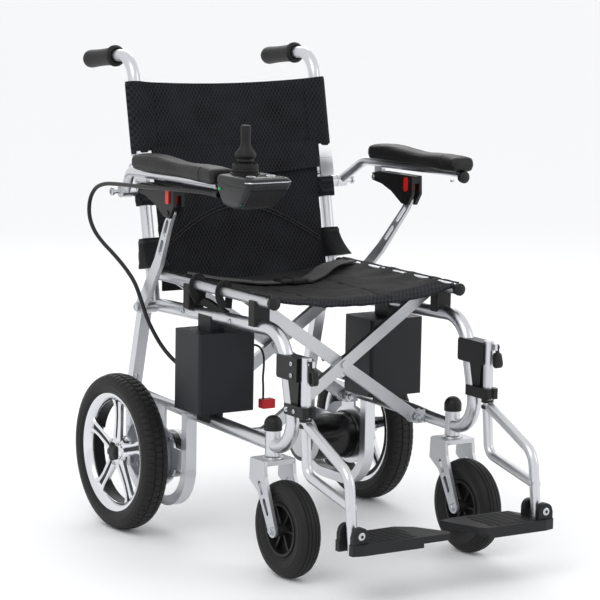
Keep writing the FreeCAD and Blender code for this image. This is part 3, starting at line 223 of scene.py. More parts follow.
M = {
    "tube": material("tube_satin", (0.62, 0.63, 0.655), 0.30, 1, ((900, 0.03), (160, 0.02)),
                     vary=0.03, rough_vary=0.05),
    "brace": material("brace_texture", (0.56, 0.57, 0.59), 0.38, 1, ((520, 0.22), (1500, 0.1)),
                      vary=0.05, rough_vary=0.05),
    "cast": material("cast_silver", (0.55, 0.56, 0.58), 0.40, 0.9, ((420, 0.20), (1200, 0.12)),
                     vary=0.05, rough_vary=0.05),
    "rim": material("rim_polish", (0.72, 0.73, 0.75), 0.16, 1, ((240, 0.015),), rough_vary=0.04),
    "zinc": material("zinc_bolt", (0.52, 0.54, 0.56), 0.25, 1, ((800, 0.04),), vary=0.12,
                     vary_scale=120, rough_vary=0.08),
    # Gearcase: grey metal darkened as painted shade for the shade it lies in inside the frame loop,
    # not a paint colour of its own.
    "gearcase": material("gearcase_shaded_grey", (0.30, 0.31, 0.34), 0.45, 0.7,
                         ((420, 0.2), (1200, 0.1)), vary=0.08),
    "motor": material("motor_paint", (0.0046, 0.0046, 0.0053), 0.24, 0, ((300, 0.03),), coat=0.3,
                      rough_vary=0.05),
    "motor_end": material("motor_end_grey", (0.62, 0.63, 0.64), 0.42, 0.6, ((500, 0.1),)),
    "powder": material("black_powder", (0.0053, 0.0053, 0.0061), 0.38, 0,
                       ((900, 0.16), (260, 0.05)), vary=0.2, rough_vary=0.06),
    "plastic": material("black_plastic", (0.0065, 0.0065, 0.0072), 0.46, 0, ((700, 0.12),),
                        vary=0.15, rough_vary=0.05),
    "plate": material("plate_plastic", (0.0076, 0.0080, 0.0091), 0.50, 0, ((520, 0.20),),
                      vary=0.2, rough_vary=0.06),
    "battery": material("battery_case", (0.0068, 0.0076, 0.0106), 0.44, 0,
                        ((760, 0.22), (2200, 0.1)), vary=0.1, rough_vary=0.04),
    "rubber": material("grip_rubber", (0.0061, 0.0061, 0.0065), 0.50, 0, ((600, 0.12),),
                       vary=0.25, rough_vary=0.08),
    "tyre": material("tyre_rubber", (0.0065, 0.0065, 0.0068), 0.58, 0, ((420, 0.14), (60, 0.06)),
                     vary=0.3, vary_scale=18, rough_vary=0.08),
    "cable": material("cable_jacket", (0.0076, 0.0076, 0.0084), 0.42, 0, ((500, 0.05),),
                      rough_vary=0.06),
    "leather": material("pad_leather", (0.0065, 0.0065, 0.0072), 0.46, 0,
                        ((330, 0.35), (900, 0.2), (40, 0.15)), vary=0.2, rough_vary=0.07),
    "shell": material("controller_shell", (0.0114, 0.0118, 0.0129), 0.40, 0,
                      ((800, 0.14), (2000, 0.06)), vary=0.1, rough_vary=0.05),
    "panel": material("controller_panel", (0.0046, 0.0046, 0.0049), 0.22, 0, ((200, 0.02),),
                      coat=0.4, rough_vary=0.04),
    "stick": material("stick_rubber", (0.0061, 0.0057, 0.0057), 0.55, 0, ((700, 0.12),), vary=0.2),
    "red": material("red_plastic", (0.55, 0.015, 0.010), 0.28, 0, ((300, 0.03),), vary=0.1,
                    coat=0.3),
    "plug": material("red_connector", (0.50, 0.012, 0.020), 0.38, 0, ((400, 0.06),), vary=0.15),
    "ink": material("label_ink", (0.12, 0.12, 0.13), 0.5, 0, ((300, 0.03),), vary=0.1),
    "green": material("led_green", (0.02, 0.55, 0.16), 0.25, 0, ((300, 0.02),), vary=0.1),
    "board": material("circuit_green", (0.02, 0.14, 0.06), 0.4, 0, ((300, 0.05),), vary=0.2),
    "mesh": weave("spacer_mesh", (0.0012, 0.0012, 0.0015), (0.026, 0.027, 0.032), ("X", "Z"),
                  0.0084, 0.62, 0.8, 0.9, sharp=0.42, sheen=0.0),
    "mesh_flat": weave("seat_mesh", (0.0012, 0.0012, 0.0015), (0.036, 0.037, 0.044), ("X", "Y"),
                       0.0088, 0.66, 0.8, 0.9, sharp=0.42, sheen=0.0),
    "mesh_side": weave("sleeve_mesh", (0.0012, 0.0012, 0.0015), (0.026, 0.027, 0.032),
                       ("Y", "Z"), 0.0084, 0.62, 0.8, 0.9, sharp=0.42, sheen=0.0),
    "nylon": weave("seat_nylon", (0.0025, 0.0025, 0.003), (0.007, 0.0075, 0.009), ("X", "Y"),
                   0.0013, 1.0, 0.62, 0.35, sheen=0.04),
    "nylon_up": weave("back_nylon", (0.0025, 0.0025, 0.003), (0.007, 0.0075, 0.009), ("X", "Z"),
                      0.0013, 1.0, 0.62, 0.35, sheen=0.04),
    "webbing": weave("belt_webbing", (0.003, 0.003, 0.0035), (0.012, 0.012, 0.014), ("X", "Y"),
                     0.0022, 0.5, 0.6, 0.6, sheen=0.2),
}


# ---------------------------------------------------------------- building pieces
def finish_mesh(name, bm, look, body=None, smooth=True, replaces=(), looks=None):
    data = bpy.data.meshes.new(name)
    bmesh.ops.recalc_face_normals(bm, faces=bm.faces)
    bm.to_mesh(data)
    bm.free()
    for key in looks or [look]:
        data.materials.append(M[key])
    data.shade_smooth() if smooth else data.shade_flat()
    if smooth:
        data.set_sharp_from_angle(angle=math.radians(38))
    piece = bpy.data.objects.new(name, data)
    bpy.context.scene.collection.objects.link(piece)
    if replaces:
        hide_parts(*replaces)
    if body:
        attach(piece, body)
    return piece


def lattice(bm, rows, closed_u=False, closed_v=False, cap=False):
    """Faces over rows of points; a row runs along u and the rows follow each other along v."""
    made = [[bm.verts.new(p) for p in row] for row in rows]
    nv, nu = len(made), len(made[0])
    for j in range(nv if closed_v else nv - 1):
        for i in range(nu if closed_u else nu - 1):
            corners = (made[j][i], made[j][(i + 1) % nu], made[(j + 1) % nv][(i + 1) % nu],
                       made[(j + 1) % nv][i])
            bm.faces.new(corners)
    if cap:
        bm.faces.new(made[0])
        bm.faces.new(made[-1])


def frame_along(points):
    """Tangent, side and up vectors at each point of a path, with as little twist as can be."""
    out = []
    side = None
    for i, point in enumerate(points):
        tangent = (points[min(i + 1, len(points) - 1)] - points[max(i - 1, 0)]).normalized()
        if side is None:
            pick = Vector((0, 0, 1)) if abs(tangent.z) < 0.9 else Vector((1, 0, 0))
            side = tangent.cross(pick).normalized()
        side = (side - tangent * side.dot(tangent)).normalized()
        out.append((point, side, tangent.cross(side)))
    return out


def ring(place, side, up, outline):
    return [place + side * a + up * b for a, b in outline]


def circle(radius, count):
    turns = [math.tau * i / count for i in range(count)]
    return [(radius * math.cos(a), radius * math.sin(a)) for a in turns]


def swept(bm, points, outline):
    rows = [ring(*place, outline) for place in frame_along(points)]
    lattice(bm, rows, closed_u=True, cap=True)


def turned(bm, axis_at, axis, profile, count=48):
    """A profile of (along axis, radius) pairs turned about the axis."""
    axis = Vector(axis).normalized()
    pick = Vector((0, 0, 1)) if abs(axis.z) < 0.9 else Vector((1, 0, 0))
    side = axis.cross(pick).normalized()
    up = axis.cross(side)
    rows = []
    for i in range(count):
        a = math.tau * i / count
        out = side * math.cos(a) + up * math.sin(a)
        rows.append([axis_at + axis * s + out * r for s, r in profile])
    lattice(bm, rows, closed_u=True, closed_v=True)


def lathe(name, at, axis, profile, look, body, count=48, **options):
    bm = bmesh.new()
    turned(bm, at, axis, [(s / 1000, max(r, 0.02) / 1000) for s, r in profile], count)
    return finish_mesh(name, bm, look, body, **options)


def block(bm, low, high, bevel):
    """A rounded box between two drawing points, in millimetres."""
    lo, hi = P(*low), P(*high)
    made = bmesh.ops.create_cube(bm, size=1.0)["verts"]
    for vert in made:
        vert.co = Vector((lo[k] + (hi[k] - lo[k]) * (vert.co[k] + 0.5) for k in range(3)))
    edges = {e for v in made for e in v.link_edges}
    bmesh.ops.bevel(bm, geom=list(edges), offset=bevel / 1000, segments=3, affect="EDGES",
                    profile=0.5)


def bolt_profile(radius, high):
    return [(0, 0), (0, radius), (high * 0.75, radius), (high, radius * 0.82),
            (high, radius * 0.5), (high * 0.45, radius * 0.42), (high * 0.45, 0)]


def bolt(name, at, axis, radius, high, body, look="zinc"):
    """A socket-head screw seated on a surface."""
    return lathe(name, P(*at), axis, bolt_profile(radius, high), look, body, 18)


def smooth_path(points, steps):
    """Points along the NURBS spline whose control points are given."""
    data = bpy.data.curves.new("route", "CURVE")
    data.dimensions = "3D"
    spline = data.splines.new("NURBS")
    spline.points.add(len(points) - 1)
    for target, point in zip(spline.points, points):
        target.co = (*point, 1)
    spline.order_u = 3
    spline.use_endpoint_u = True
    spline.resolution_u = steps
    route = bpy.data.objects.new("route", data)
    bpy.context.scene.collection.objects.link(route)
    bpy.context.view_layer.update()
    traced = bpy.data.meshes.new_from_object(route)
    found = [v.co.copy() for v in traced.vertices]
    bpy.data.objects.remove(route)
    bpy.data.meshes.remove(traced)
    return found


def soften(node, width):
    """Rounds a CAD piece's sharp edges for the light, without changing its mesh."""
    weld = node.modifiers.new("weld", "WELD")
    weld.merge_threshold = 0.00002
    bevel = node.modifiers.new("soften", "BEVEL")
    bevel.width = width / 1000
    bevel.segments = 2
    bevel.limit_method = "ANGLE"
    bevel.angle_limit = math.radians(34)


def paint(prefix, look, both=True):
    for name in ([f"{prefix}_left", f"{prefix}_right"] if both else [prefix]):
        node = nodes[name]
        node.data.materials.clear()
        node.data.materials.append(M[look])


def paint_all():
    looks = {"frame": "tube", "motor": "motor", "gearcase": "gearcase", "battery": "battery",
             "saddles": "plastic", "hanger_bracket": "powder", "hanger_lever": "powder",
             "stem_cap": "plastic", "caster_fork": "cast", "caster_hub": "plastic",
             "hanger": "tube", "footplate": "plate", "handle_tube": "tube", "grip": "rubber",
             "back_lever": "powder", "armrest_tube": "tube", "armrest_bracket": "powder",
             "armrest_button": "red", "armrest_link": "cast", "rear_tyre": "tyre",
             "rear_rim": "rim", "caster_tyre": "tyre", "armrest_pad": "leather"}
    for prefix, look in looks.items():
        paint(prefix, look)
    single = {"brace_a": "brace", "brace_b": "brace", "seat_fabric": "nylon",
              "back_fabric_upper": "mesh", "back_fabric_lower": "mesh",
              "controller_housing": "shell", "circuit_board": "board", "gimbal": "plastic",
              "joystick": "stick", "power_button": "panel", "horn_button": "panel",
              "control_cable": "cable", "battery_lead": "cable", "battery_plug": "plug"}
    for name, look in single.items():
        paint(name, look, both=False)


# ---------------------------------------------------------------- places shared by the pieces
def post_y(z):
    return 6.0 + (z - 455.0) * math.tan(RECLINE)


def on_post(x, rear, z):
    """A point at height z beside the reclined back posts, rear of their centreline."""
    return P(x, post_y(z) + rear * math.cos(RECLINE), z - rear * math.sin(RECLINE))


def wave(x, y, z, scale, size):
    """A smooth unevenness, in millimetres."""
    return size * noise.noise(Vector((x, y, z)) / scale)


SEAT_Z = 520.5            # centre height of the seat tubes
SEAT_HALF = 223.0
SEAT_FRONT, SEAT_REAR = -438.0, -22.0
SEAT_SAG = 25.0
SLEEVE_SEAM = 183.0       # across, to the seam of the upper panel's sleeves


# ---------------------------------------------------------------- back panels
def panel_section(z, sag, thick, front):
    """Outline of the upper panel seen from above: a sheet with a sleeve at each post."""
    half, sleeve = POST_X, 20.0
    across = [half - 22 - (2 * half - 44) * i / 110 for i in range(111)]
    outline = []
    for x in across:
        bow = sag * (1 - (x / (half - 20)) ** 2)
        bow += 2.4 * math.exp(-((abs(x) - SLEEVE_SEAM) / 2.6) ** 2)
        outline.append((x, front + bow + wave(x, z, 0, 26, 1.3)))
    for i in range(15):
        a = math.radians(-60 - 240 * i / 14)
        outline.append((-half + sleeve * math.cos(a), sleeve * math.sin(a)))
    for x in reversed(across):
        bow = sag * (1 - (x / (half - 20)) ** 2)
        outline.append((x, front + thick + bow + wave(x, z, 9, 26, 1.3)))
    for i in range(15):
        a = math.radians(120 - 240 * i / 14)
        outline.append((half + sleeve * math.cos(a), sleeve * math.sin(a)))
    return outline


def fold_flat(piece, body):
    """Rides on a body, with a mesh of its own."""
    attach(piece, body)
    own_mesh(piece)


def soft_back(piece, body):
    fold_flat(piece, body)


def back_upper():
    bm = bmesh.new()
    rows = []
    low, high, count = 764.0, 898.0, 30
    for j in range(count + 1):
        share = j / count
        inset = 1 - 0.14 * (max(0, 0.06 - min(share, 1 - share)) / 0.06) ** 2
        row = []
        for x, rear in panel_section(low + (high - low) * share, 9.0, 8.0, -12.0):
            edge = abs(x) / POST_X
            z = low + (high - low) * share
            z += 7.0 * share * edge ** 2 - 3.0 * (1 - share) * edge ** 2
            row.append(on_post(x, rear * inset, z))
        rows.append(row)
    lattice(bm, rows, closed_u=True, cap=True)
    panel = finish_mesh("back_panel_upper", bm, "mesh", replaces=["back_fabric_upper"])
    soft_back(panel, "back_right")


def slab(name, corner_rows, thick, rear_offset, body, replaces=()):
    """A padded sheet over a grid of (x, z) places beside the posts, closed all round."""
    bm = bmesh.new()
    front, back = [], []
    for row in corner_rows:
        ahead, behind = [], []
        for i, (x, z, bow) in enumerate(row):
            edge = min(i, len(row) - 1 - i)
            swell = thick * (0.35 if edge == 0 else 0.8 if edge == 1 else 1.0)
            ripple = wave(x, z, 3, 40, 2.0) + wave(x, z, 7, 14, 0.6)
            ahead.append(on_post(x, rear_offset + bow - swell / 2 + ripple, z))
            behind.append(on_post(x, rear_offset + bow + swell / 2 + ripple, z))
        front.append(ahead)
        back.append(behind)
    rows = [a + list(reversed(b)) for a, b in zip(front, back)]
    lattice(bm, rows, closed_u=True, cap=True)
    soft_back(finish_mesh(name, bm, "mesh", replaces=replaces), body)


def back_lower():
    rows = []
    for j in range(33):
        z = 482.0 + (762.0 - 482.0) * j / 32
        half = 203.0 - 5.0 * math.sin(math.pi * j / 32)
        row = []
        for i in range(41):
            x = -half + 2 * half * i / 40
            bow = 13.0 * (1 - (x / half) ** 2)
            crease = -2.2 * math.exp(-((z - (640 - 60 * (x / half) ** 2 - 0.12 * x)) / 4) ** 2)
            row.append((x, z, bow - crease))
        rows.append(row)
    slab("back_panel_lower", rows, 8.0, -6.0, "frame_right", replaces=["back_fabric_lower"])
    flap = []
    for j in range(13):
        share = j / 12
        row = []
        for i in range(41):
            x = -201 + 402 * i / 40
            z = 709.0 + (772.0 - 709.0) * share + 8 * (1 - share) * (x / 201) ** 2
            row.append((x, z, 12.0 * (1 - (x / 201) ** 2)))
        flap.append(row)
    slab("back_panel_flap", flap, 6.0, -14.5, "back_right")
    for name, z_end, z_top in (("seam_high", 572, 652), ("seam_low", 565, 645)):
        route = []
        for i in range(25):
            t = i / 24
            x = -190 + 380 * t
            z = z_end + (z_top - z_end) * math.sin(math.pi * t)
            route.append(on_post(x, -11.4 + 13.0 * (1 - (x / 200) ** 2), z))
        bm = bmesh.new()
        swept(bm, route, circle(0.0011, 8))
        fold_flat(finish_mesh(f"back_{name}", bm, "webbing"), "frame_right")


def superellipse(half_a, half_b, power, count):
    """A rounded rectangle, squarer as the power falls."""
    out = []
    for i in range(count):
        a = math.tau * i / count
        c, s = math.cos(a), math.sin(a)
        out.append((half_a * math.copysign(abs(c) ** power, c),
                    half_b * math.copysign(abs(s) ** power, s)))
    return out


def band(name, side, levels, look):
    """A fabric wrap round a back post; each level is (z, x_in, x_out, front, rear)."""
    bm = bmesh.new()
    rows = []
    for z, x_in, x_out, front, rear in levels:
        mid_x, mid_r = (x_in + x_out) / 2, (front + rear) / 2
        row = []
        for a, b in superellipse((x_out - x_in) / 2, (rear - front) / 2, 0.55, 36):
            px, pr = mid_x + a, mid_r + b
            ripple = wave(px, pr * 3, z, 12, 1.2)
            row.append(on_post(SIDES[side] * (px + ripple), pr + ripple, z))
        rows.append(row)
    lattice(bm, rows, closed_u=True, cap=True)
    finish_mesh(f"{name}_{side}", bm, look, f"frame_{side}")


def back_bands():
    for side in SIDES:
        levels = [(656 + 4 * k, 199, 238.5 - 0.8 * abs(k - 5) / 5, -16, 15.5) for k in range(11)]
        band("post_strap", side, levels, "mesh_side")
        levels = [(590 - 6 * k, 197, 238 + 1.0 * k, -17 - 0.35 * k ** 2, 16) for k in range(11)]
        band("post_skirt", side, levels, "nylon_up")
        levels = [(586 - 3 * k, 198, 240, -19 + 0.3 * k, 17) for k in range(3)]
        band("post_fold", side, levels, "webbing")


# ---------------------------------------------------------------- seat
def seat_height(x, y):
    """Height of the sling's upper face."""
    across = min(1.0, abs(x) / SEAT_HALF)
    deep = SEAT_SAG * (0.92 + 0.16 * (y - SEAT_FRONT) / (SEAT_REAR - SEAT_FRONT))
    z = SEAT_Z + 13.5 - deep * (1 - across ** 2) ** 0.8
    pull = math.exp(-((across - 0.86) / 0.12) ** 2)
    z += pull * 1.6 * math.sin(y / 13.0 + 2.2 * math.sin(x / 40))
    z += wave(x, y, 1, 70, 3.2) * (1 - across ** 6) + wave(x, y, 5, 22, 1.1)
    for seam in (-78.0, 84.0):
        z -= 2.4 * math.exp(-((x - seam - 0.10 * (y + 220)) / 2.6) ** 2)
    z -= 1.6 * math.exp(-((y - SEAT_FRONT - 58) / 2.4) ** 2)
    return z


def span_seat(piece):
    """Lies between the two seat tubes, which part as the chair unfolds; its placement is baked into
    its mesh.
    """
    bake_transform(piece)


def seat():
    nx, ny, thick = 90, 74, 3.0
    bm = bmesh.new()
    rows = []
    for j in range(ny + 1):
        y = SEAT_FRONT + (SEAT_REAR - SEAT_FRONT) * j / ny
        upper, lower = [], []
        for i in range(nx + 1):
            x = -SEAT_HALF + 2 * SEAT_HALF * i / nx
            bulge = 7.0 * math.exp(-((y - SEAT_FRONT) / 9.0) ** 2)
            curl = bulge * 0.55 * (1 - (x / SEAT_HALF) ** 8)
            dy = -4 * (1 - (x / SEAT_HALF) ** 2) if j == 0 else 0
            z = seat_height(x, y)
            upper.append(P(x, y + dy, z - curl))
            lower.append(P(x, y + dy, z - curl - thick - (2.0 if j < 3 else 0)))
        rows.append(upper + list(reversed(lower)))
    lattice(bm, rows, closed_u=True, cap=True)
    hem = P(0, SEAT_FRONT + 58, 0).y
    for face in bm.faces:
        face.material_index = 1 if face.calc_center_median().y < hem else 0
    sling = finish_mesh("seat_sling", bm, "nylon", replaces=["seat_fabric"],
                        looks=["nylon", "mesh_flat"])
    span_seat(sling)


def strip(name, route, wide, thick, lay_up):
    """A flat strap along a route, its wide side square to lay_up."""
    bm = bmesh.new()
    rows = []
    for i, point in enumerate(route):
        tangent = (route[min(i + 1, len(route) - 1)] - route[max(i - 1, 0)]).normalized()
        side = tangent.cross(lay_up).normalized()
        up = side.cross(tangent)
        a, b = wide / 2000, thick / 2000
        rows.append([point + side * a + up * b, point - side * a + up * b,
                     point - side * a - up * b, point + side * a - up * b])
    lattice(bm, rows, closed_u=True, cap=True)
    return finish_mesh(name, bm, "webbing")


def on_seat(x, y, above):
    return P(x, y, seat_height(x, y) + above)


def seat_details():
    left = [on_seat(205, -70, 5), on_seat(160, -88, 14), on_seat(120, -110, 16),
            on_seat(80, -140, 7), on_seat(40, -160, 5), on_seat(8, -172, 4)]
    right = [on_seat(-200, -90, 4), on_seat(-150, -120, 5), on_seat(-110, -150, 6),
             on_seat(-70, -168, 5), on_seat(-36, -178, 5)]
    for name, route, long in (("belt_left", left, 0.24), ("belt_right", right, 0.203)):
        belt = strip(name, smooth_path(route, 8), 38, 2.4, Vector((0, 0, 1)))
        span_seat(belt)
    bm = bmesh.new()
    for x, y, half_x, half_y, high in ((2, -174, 16, 22, 13), (-26, -177, 14, 17, 11),
                                       (34, -166, 9, 23, 9)):
        base = seat_height(x, y) + 1
        block(bm, (x - half_x, y - half_y, base), (x + half_x, y + half_y, base + high), 3.5)
    buckle = finish_mesh("belt_buckle", bm, "plastic")
    span_seat(buckle)
    for name, side in SIDES.items():
        body = "brace_a" if side > 0 else "brace_b"
        for k, y in enumerate((-425, -352, -262, -172, -60)):
            lathe(f"seat_washer_{name}_{k}", P(side * 214, y, SEAT_Z + 12.6), (0, 0, 1),
                  [(0, 0), (0, 4.6), (1.0, 4.4), (1.2, 3), (2.2, 2.8), (2.6, 1.5), (2.6, 0)],
                  "powder", body, 20)
        lathe(f"seat_tube_cap_{name}", P(side * SEAT_TUBE_X, -447.5, SEAT_Z), (0, -1, 0),
              [(-8, 0), (-8, 11.3), (-1, 12.6), (3, 12.4), (5.5, 9), (6, 0)], "plastic", body)
        lathe(f"seat_tube_plug_{name}", P(side * SEAT_TUBE_X, -15.5, SEAT_Z), (0, 1, 0),
              [(-4, 0), (-4, 11.4), (2, 11.4), (3.5, 8), (3.5, 0)], "plastic", body)


def carry_loop():
    """A webbing loop with a rubber grip that hangs below the right seat tube."""
    bm = bmesh.new()
    route = [P(-209, -160 - 17 * k, 486 - 1.5 * k + 3 * math.sin(k)) for k in range(7)]
    profile = [0.0085 + 0.0008 * (i % 2) for i in range(60)]
    path = smooth_path(route, 10)
    rows = []
    for i, (point, side, up) in enumerate(frame_along(path)):
        swell = 1 - 0.3 * max(0, abs(2 * i / (len(path) - 1) - 1) - 0.8) / 0.2
        rows.append(ring(point, side, up, circle(profile[i % 60] * swell, 16)))
    lattice(bm, rows, closed_u=True, cap=True)
    finish_mesh("carry_grip", bm, "rubber", "brace_b")
    for k, y in enumerate((-160, -262)):
        route = [P(-207, y, 486), P(-204, y + 3, 500), P(-203, y + 2, 520), P(-209, y, 534),
                 P(-220, y, 535), P(-230, y - 1, 524), P(-229, y - 2, 505), P(-216, y, 488)]
        loop = strip(f"carry_strap_{k}", smooth_path(route, 8), 16, 2.2, Vector((0, 1, 0)))
        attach(loop, "brace_b")


# ---------------------------------------------------------------- cables
def jacket(name, route, radius, count, **options):
    """A round cable on the spline of its route; gives the piece and the path it follows."""
    path = smooth_path(route, 10)
    bm = bmesh.new()
    swept(bm, path, circle(radius, count))
    return finish_mesh(name, bm, "cable", **options), path


def cables():
    route = [P(*p) for p in (
        (-300, -373.7, 725), (-302, -330, 725), (-306, -276, 723), (-309, -218, 720),
        (-310, -159, 717), (-309, -100, 713), (-306, -40, 710), (-303, 16, 707), (-303, 70, 703),
        (-303, 110, 691), (-303, 135, 665), (-302, 140, 630), (-300, 122, 601), (-297, 88, 579),
        (-292, 50, 560), (-285, 14, 536), (-277, -14, 508), (-271, -28, 474), (-266, -44, 438),
        (-255, -58, 406), (-243, -70, 380), (-235, -94, 361), (-231, -126, 349),
        (-231, -156, 349))]
    cable, path = jacket("control_cable_run", route, 0.0042, 14, replaces=["control_cable"])
    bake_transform(cable)
    route = [P(*p) for p in (
        (-139, -236, 404), (-127, -236, 404), (-113, -236, 396), (-106, -236, 380),
        (-106, -237, 358), (-108, -236, 336), (-106, -236, 314), (-107, -237, 292))]
    lead, path = jacket("battery_lead_run", route, 0.0022, 12, body="frame_right",
                        replaces=["battery_lead"])


# ---------------------------------------------------------------- wheels
TREAD_COUNT = 72


def tyre(kind, name, centre, half, grooves, per_block, tread_r, body):
    """A tyre turned about X from half its outline, with grooves cut above tread_r."""
    outline = half + [(-s, r) for s, r in reversed(half[1:])]
    count = TREAD_COUNT * per_block
    rows = []
    for i in range(count):
        a = math.tau * i / count
        out = Vector((0, math.cos(a), math.sin(a)))
        row = []
        for s, r in outline:
            deep = grooves(s, i % per_block) if r > tread_r else 0
            across = Vector((SIDES[name] * s / 1000, 0, 0))
            row.append(centre + across + out * ((r - deep) / 1000))
        rows.append(row)
    bm = bmesh.new()
    lattice(bm, rows, closed_u=True, closed_v=True)
    finish_mesh(f"{kind}_tread_{name}", bm, "tyre", body, replaces=[f"{kind}_tyre_{name}"])


def rear_groove(s, step):
    """Depth of the blocky tread at a place across it and along one block."""
    if abs(abs(s) - 8.5) < 1.1:
        return 2.2
    stagger = (step + (2 if abs(s) > 8.5 else 0)) % 5
    return 2.0 if stagger == 0 else 0.0


def rear_wheel(name, side):
    centre, body = P(side * WHEEL_X, 0, WHEEL_Z), f"rear_wheel_{name}"
    half = [(0, 160), (4, 159.9), (7.2, 159.7), (7.8, 159.5), (8.5, 159.3), (9.2, 159.1),
            (10, 158.6), (14, 157.9), (18, 156.6), (21, 155.0), (23.6, 152.6), (25.4, 149.4),
            (26.6, 145), (27.0, 141), (27.6, 139.6), (27.6, 138), (27.1, 136.8), (26.8, 133),
            (26.2, 129), (25.8, 128), (24.8, 126.4), (23.2, 123), (20.6, 120.2), (19, 117.5)]
    tyre("rear", name, centre, half, rear_groove, 5, 150.5, body)
    lip = [(19, 119), (19.6, 121.5), (21, 122.4), (22, 121), (21.2, 116.5), (17, 111),
           (13, 107.4), (8, 105)]
    ring_profile = [(-s, r) for s, r in lip] + lip[::-1]
    lathe(f"rear_rim_ring_{name}", centre, (side, 0, 0), ring_profile, "rim", body, 96,
          replaces=[f"rear_rim_{name}"])
    lathe(f"rear_rim_barrel_{name}", centre, (side, 0, 0),
          [(-18, 112), (-18, 104.5), (-14, 103.4), (6, 103.4), (8, 105.2), (0, 107), (-8, 107)],
          "plastic", body, 96)
    hub = [(-20, 0), (-20, 26), (-17, 30), (-6, 32), (4, 32), (9, 30), (13, 26.5), (15.5, 24),
           (16.5, 20), (16.5, 0)]
    lathe(f"rear_hub_{name}", centre, (side, 0, 0), hub, "rim", body, 60)
    spokes(name, side, centre, body)
    bm = bmesh.new()
    rows = []
    for s, grow in ((14.0, 1.0), (19.0, 1.0), (21.5, 0.95), (23.0, 0.82), (23.4, 0.4)):
        row = []
        for i in range(60):
            a = math.tau * i / 60
            r = (17.6 + 2.6 * math.cos(5 * a)) * grow
            row.append(centre + Vector((side * s, r * math.cos(a), r * math.sin(a))) / 1000)
        rows.append(row)
    lattice(bm, rows, closed_u=True, cap=True)
    finish_mesh(f"rear_hub_cap_{name}", bm, "plastic", body)
    for k in range(5):
        a = math.radians(93 + 36 + 72 * k)
        spot = centre + Vector((side * 15.4, 24 * math.cos(a), 24 * math.sin(a))) / 1000
        lathe(f"rear_hub_bolt_{name}_{k}", spot, (side, 0, 0), bolt_profile(3.4, 3), "zinc", body,
              16)


def spokes(name, side, centre, body):
    """Five forked spokes, each two tapered bars with a dark web between them."""
    bars, webs = bmesh.new(), bmesh.new()
    for k in range(5):
        a = math.radians(93 + 72 * k)
        out, turn = Vector((0, math.cos(a), math.sin(a))), Vector((0, -math.sin(a), math.cos(a)))

        def at(s, r, t):
            return centre + (Vector((side * s, 0, 0)) + out * r + turn * t) / 1000

        for sign in (1, -1):
            rows = []
            for r, t_in, t_out, face in ((24, 3.6, 16.5, 13.2), (34, 3.8, 14.6, 13.0),
                                         (52, 4.0, 12.6, 12.2), (74, 4.2, 11.6, 12.0),
                                         (92, 4.6, 12.4, 13.0), (101, 5.6, 15.0, 14.2),
                                         (107, 7.0, 20.0, 15.2)):
                back = face - 10
                rows.append([at(face - 1.6, r, sign * t_in), at(face, r, sign * (t_in + 1.6)),
                             at(face, r, sign * (t_out - 2.4)), at(face - 2.4, r, sign * t_out),
                             at(back, r, sign * (t_out - 1)), at(back, r, sign * t_in)])
            lattice(bars, rows, closed_u=True, cap=True)
        rows = [[at(s, r, t) for s, t in ((9.5, -w), (9.5, w), (4, w), (4, -w))]
                for r, w in ((26, 6), (60, 6), (96, 7), (105, 9))]
        lattice(webs, rows, closed_u=True, cap=True)
    finish_mesh(f"rear_spokes_{name}", bars, "rim", body)
    finish_mesh(f"rear_spoke_webs_{name}", webs, "plastic", body)


def caster_groove(s, step):
    """Depth of the four ribs' grooves, the same all round."""
    return 1.4 if 3.4 < abs(s) < 5.2 or 10.4 < abs(s) < 12.2 else 0.0


def caster(name, side):
    centre, body = P(side * FRAME_X, -501, 94), f"caster_wheel_{name}"
    half = [(0, 94), (3.2, 93.9), (3.8, 93.8), (4.9, 93.5), (5.4, 93.3), (10.2, 92.4),
            (10.8, 92.0), (11.9, 91.6), (12.4, 91.4), (16, 89.6), (19.4, 86.6), (21.6, 82.4),
            (22.4, 78), (22.6, 75.4), (23.2, 74.6), (23.2, 73.4), (22.4, 72.6), (21.8, 68),
            (20.6, 62), (19.6, 59.6), (20.0, 58.6), (19.2, 57.2), (17.5, 55.4), (16, 52)]
    tyre("caster", name, centre, half, caster_groove, 1, 88, body)
    for k, s in enumerate((1, -1)):
        lathe(f"caster_axle_nut_{name}_{k}", centre + Vector((side * s * 0.0365, 0, 0)),
              (side * s, 0, 0), [(-1, 0), (-1, 8.5), (1, 8.5), (1, 6.4), (5, 6.2), (6, 5), (6, 0)],
              "zinc", f"caster_{name}", 6, smooth=False)


# ---------------------------------------------------------------- pads and grips
def plump(piece, limit, voxel):
    """Swells a closed soft piece with a cloth simulation and keeps the result as its mesh."""
    scene = bpy.context.scene
    before = piece.data
    remesh = piece.modifiers.new("remesh", "REMESH")
    remesh.mode, remesh.voxel_size = "VOXEL", voxel
    bake(piece)
    start = [v.co.copy() for v in piece.data.vertices]
    cloth = piece.modifiers.new("cloth", "CLOTH")
    cloth.settings.use_pressure = True
    cloth.settings.uniform_pressure_force = 4.0
    cloth.settings.effector_weights.gravity = 0
    cloth.settings.tension_stiffness = 25
    for number in range(1, 21):
        scene.frame_set(number)
    bake(piece)
    for vert, was in zip(piece.data.vertices, start):
        moved = vert.co - was
        if moved.length > limit / 1000:
            vert.co = was + moved.normalized() * limit / 1000
    scene.frame_set(1)
    divide = piece.modifiers.new("divide", "SUBSURF")
    divide.levels = divide.render_levels = 1
    bake(piece)
    for look in before.materials:
        if look.name not in [m.name for m in piece.data.materials if m]:
            piece.data.materials.append(look)
    piece.data.shade_smooth()


def bake(piece):
    """Puts what the piece's modifiers make into its mesh."""
    graph = bpy.context.evaluated_depsgraph_get()
    made = bpy.data.meshes.new_from_object(piece.evaluated_get(graph))
    piece.modifiers.clear()
    piece.data = made


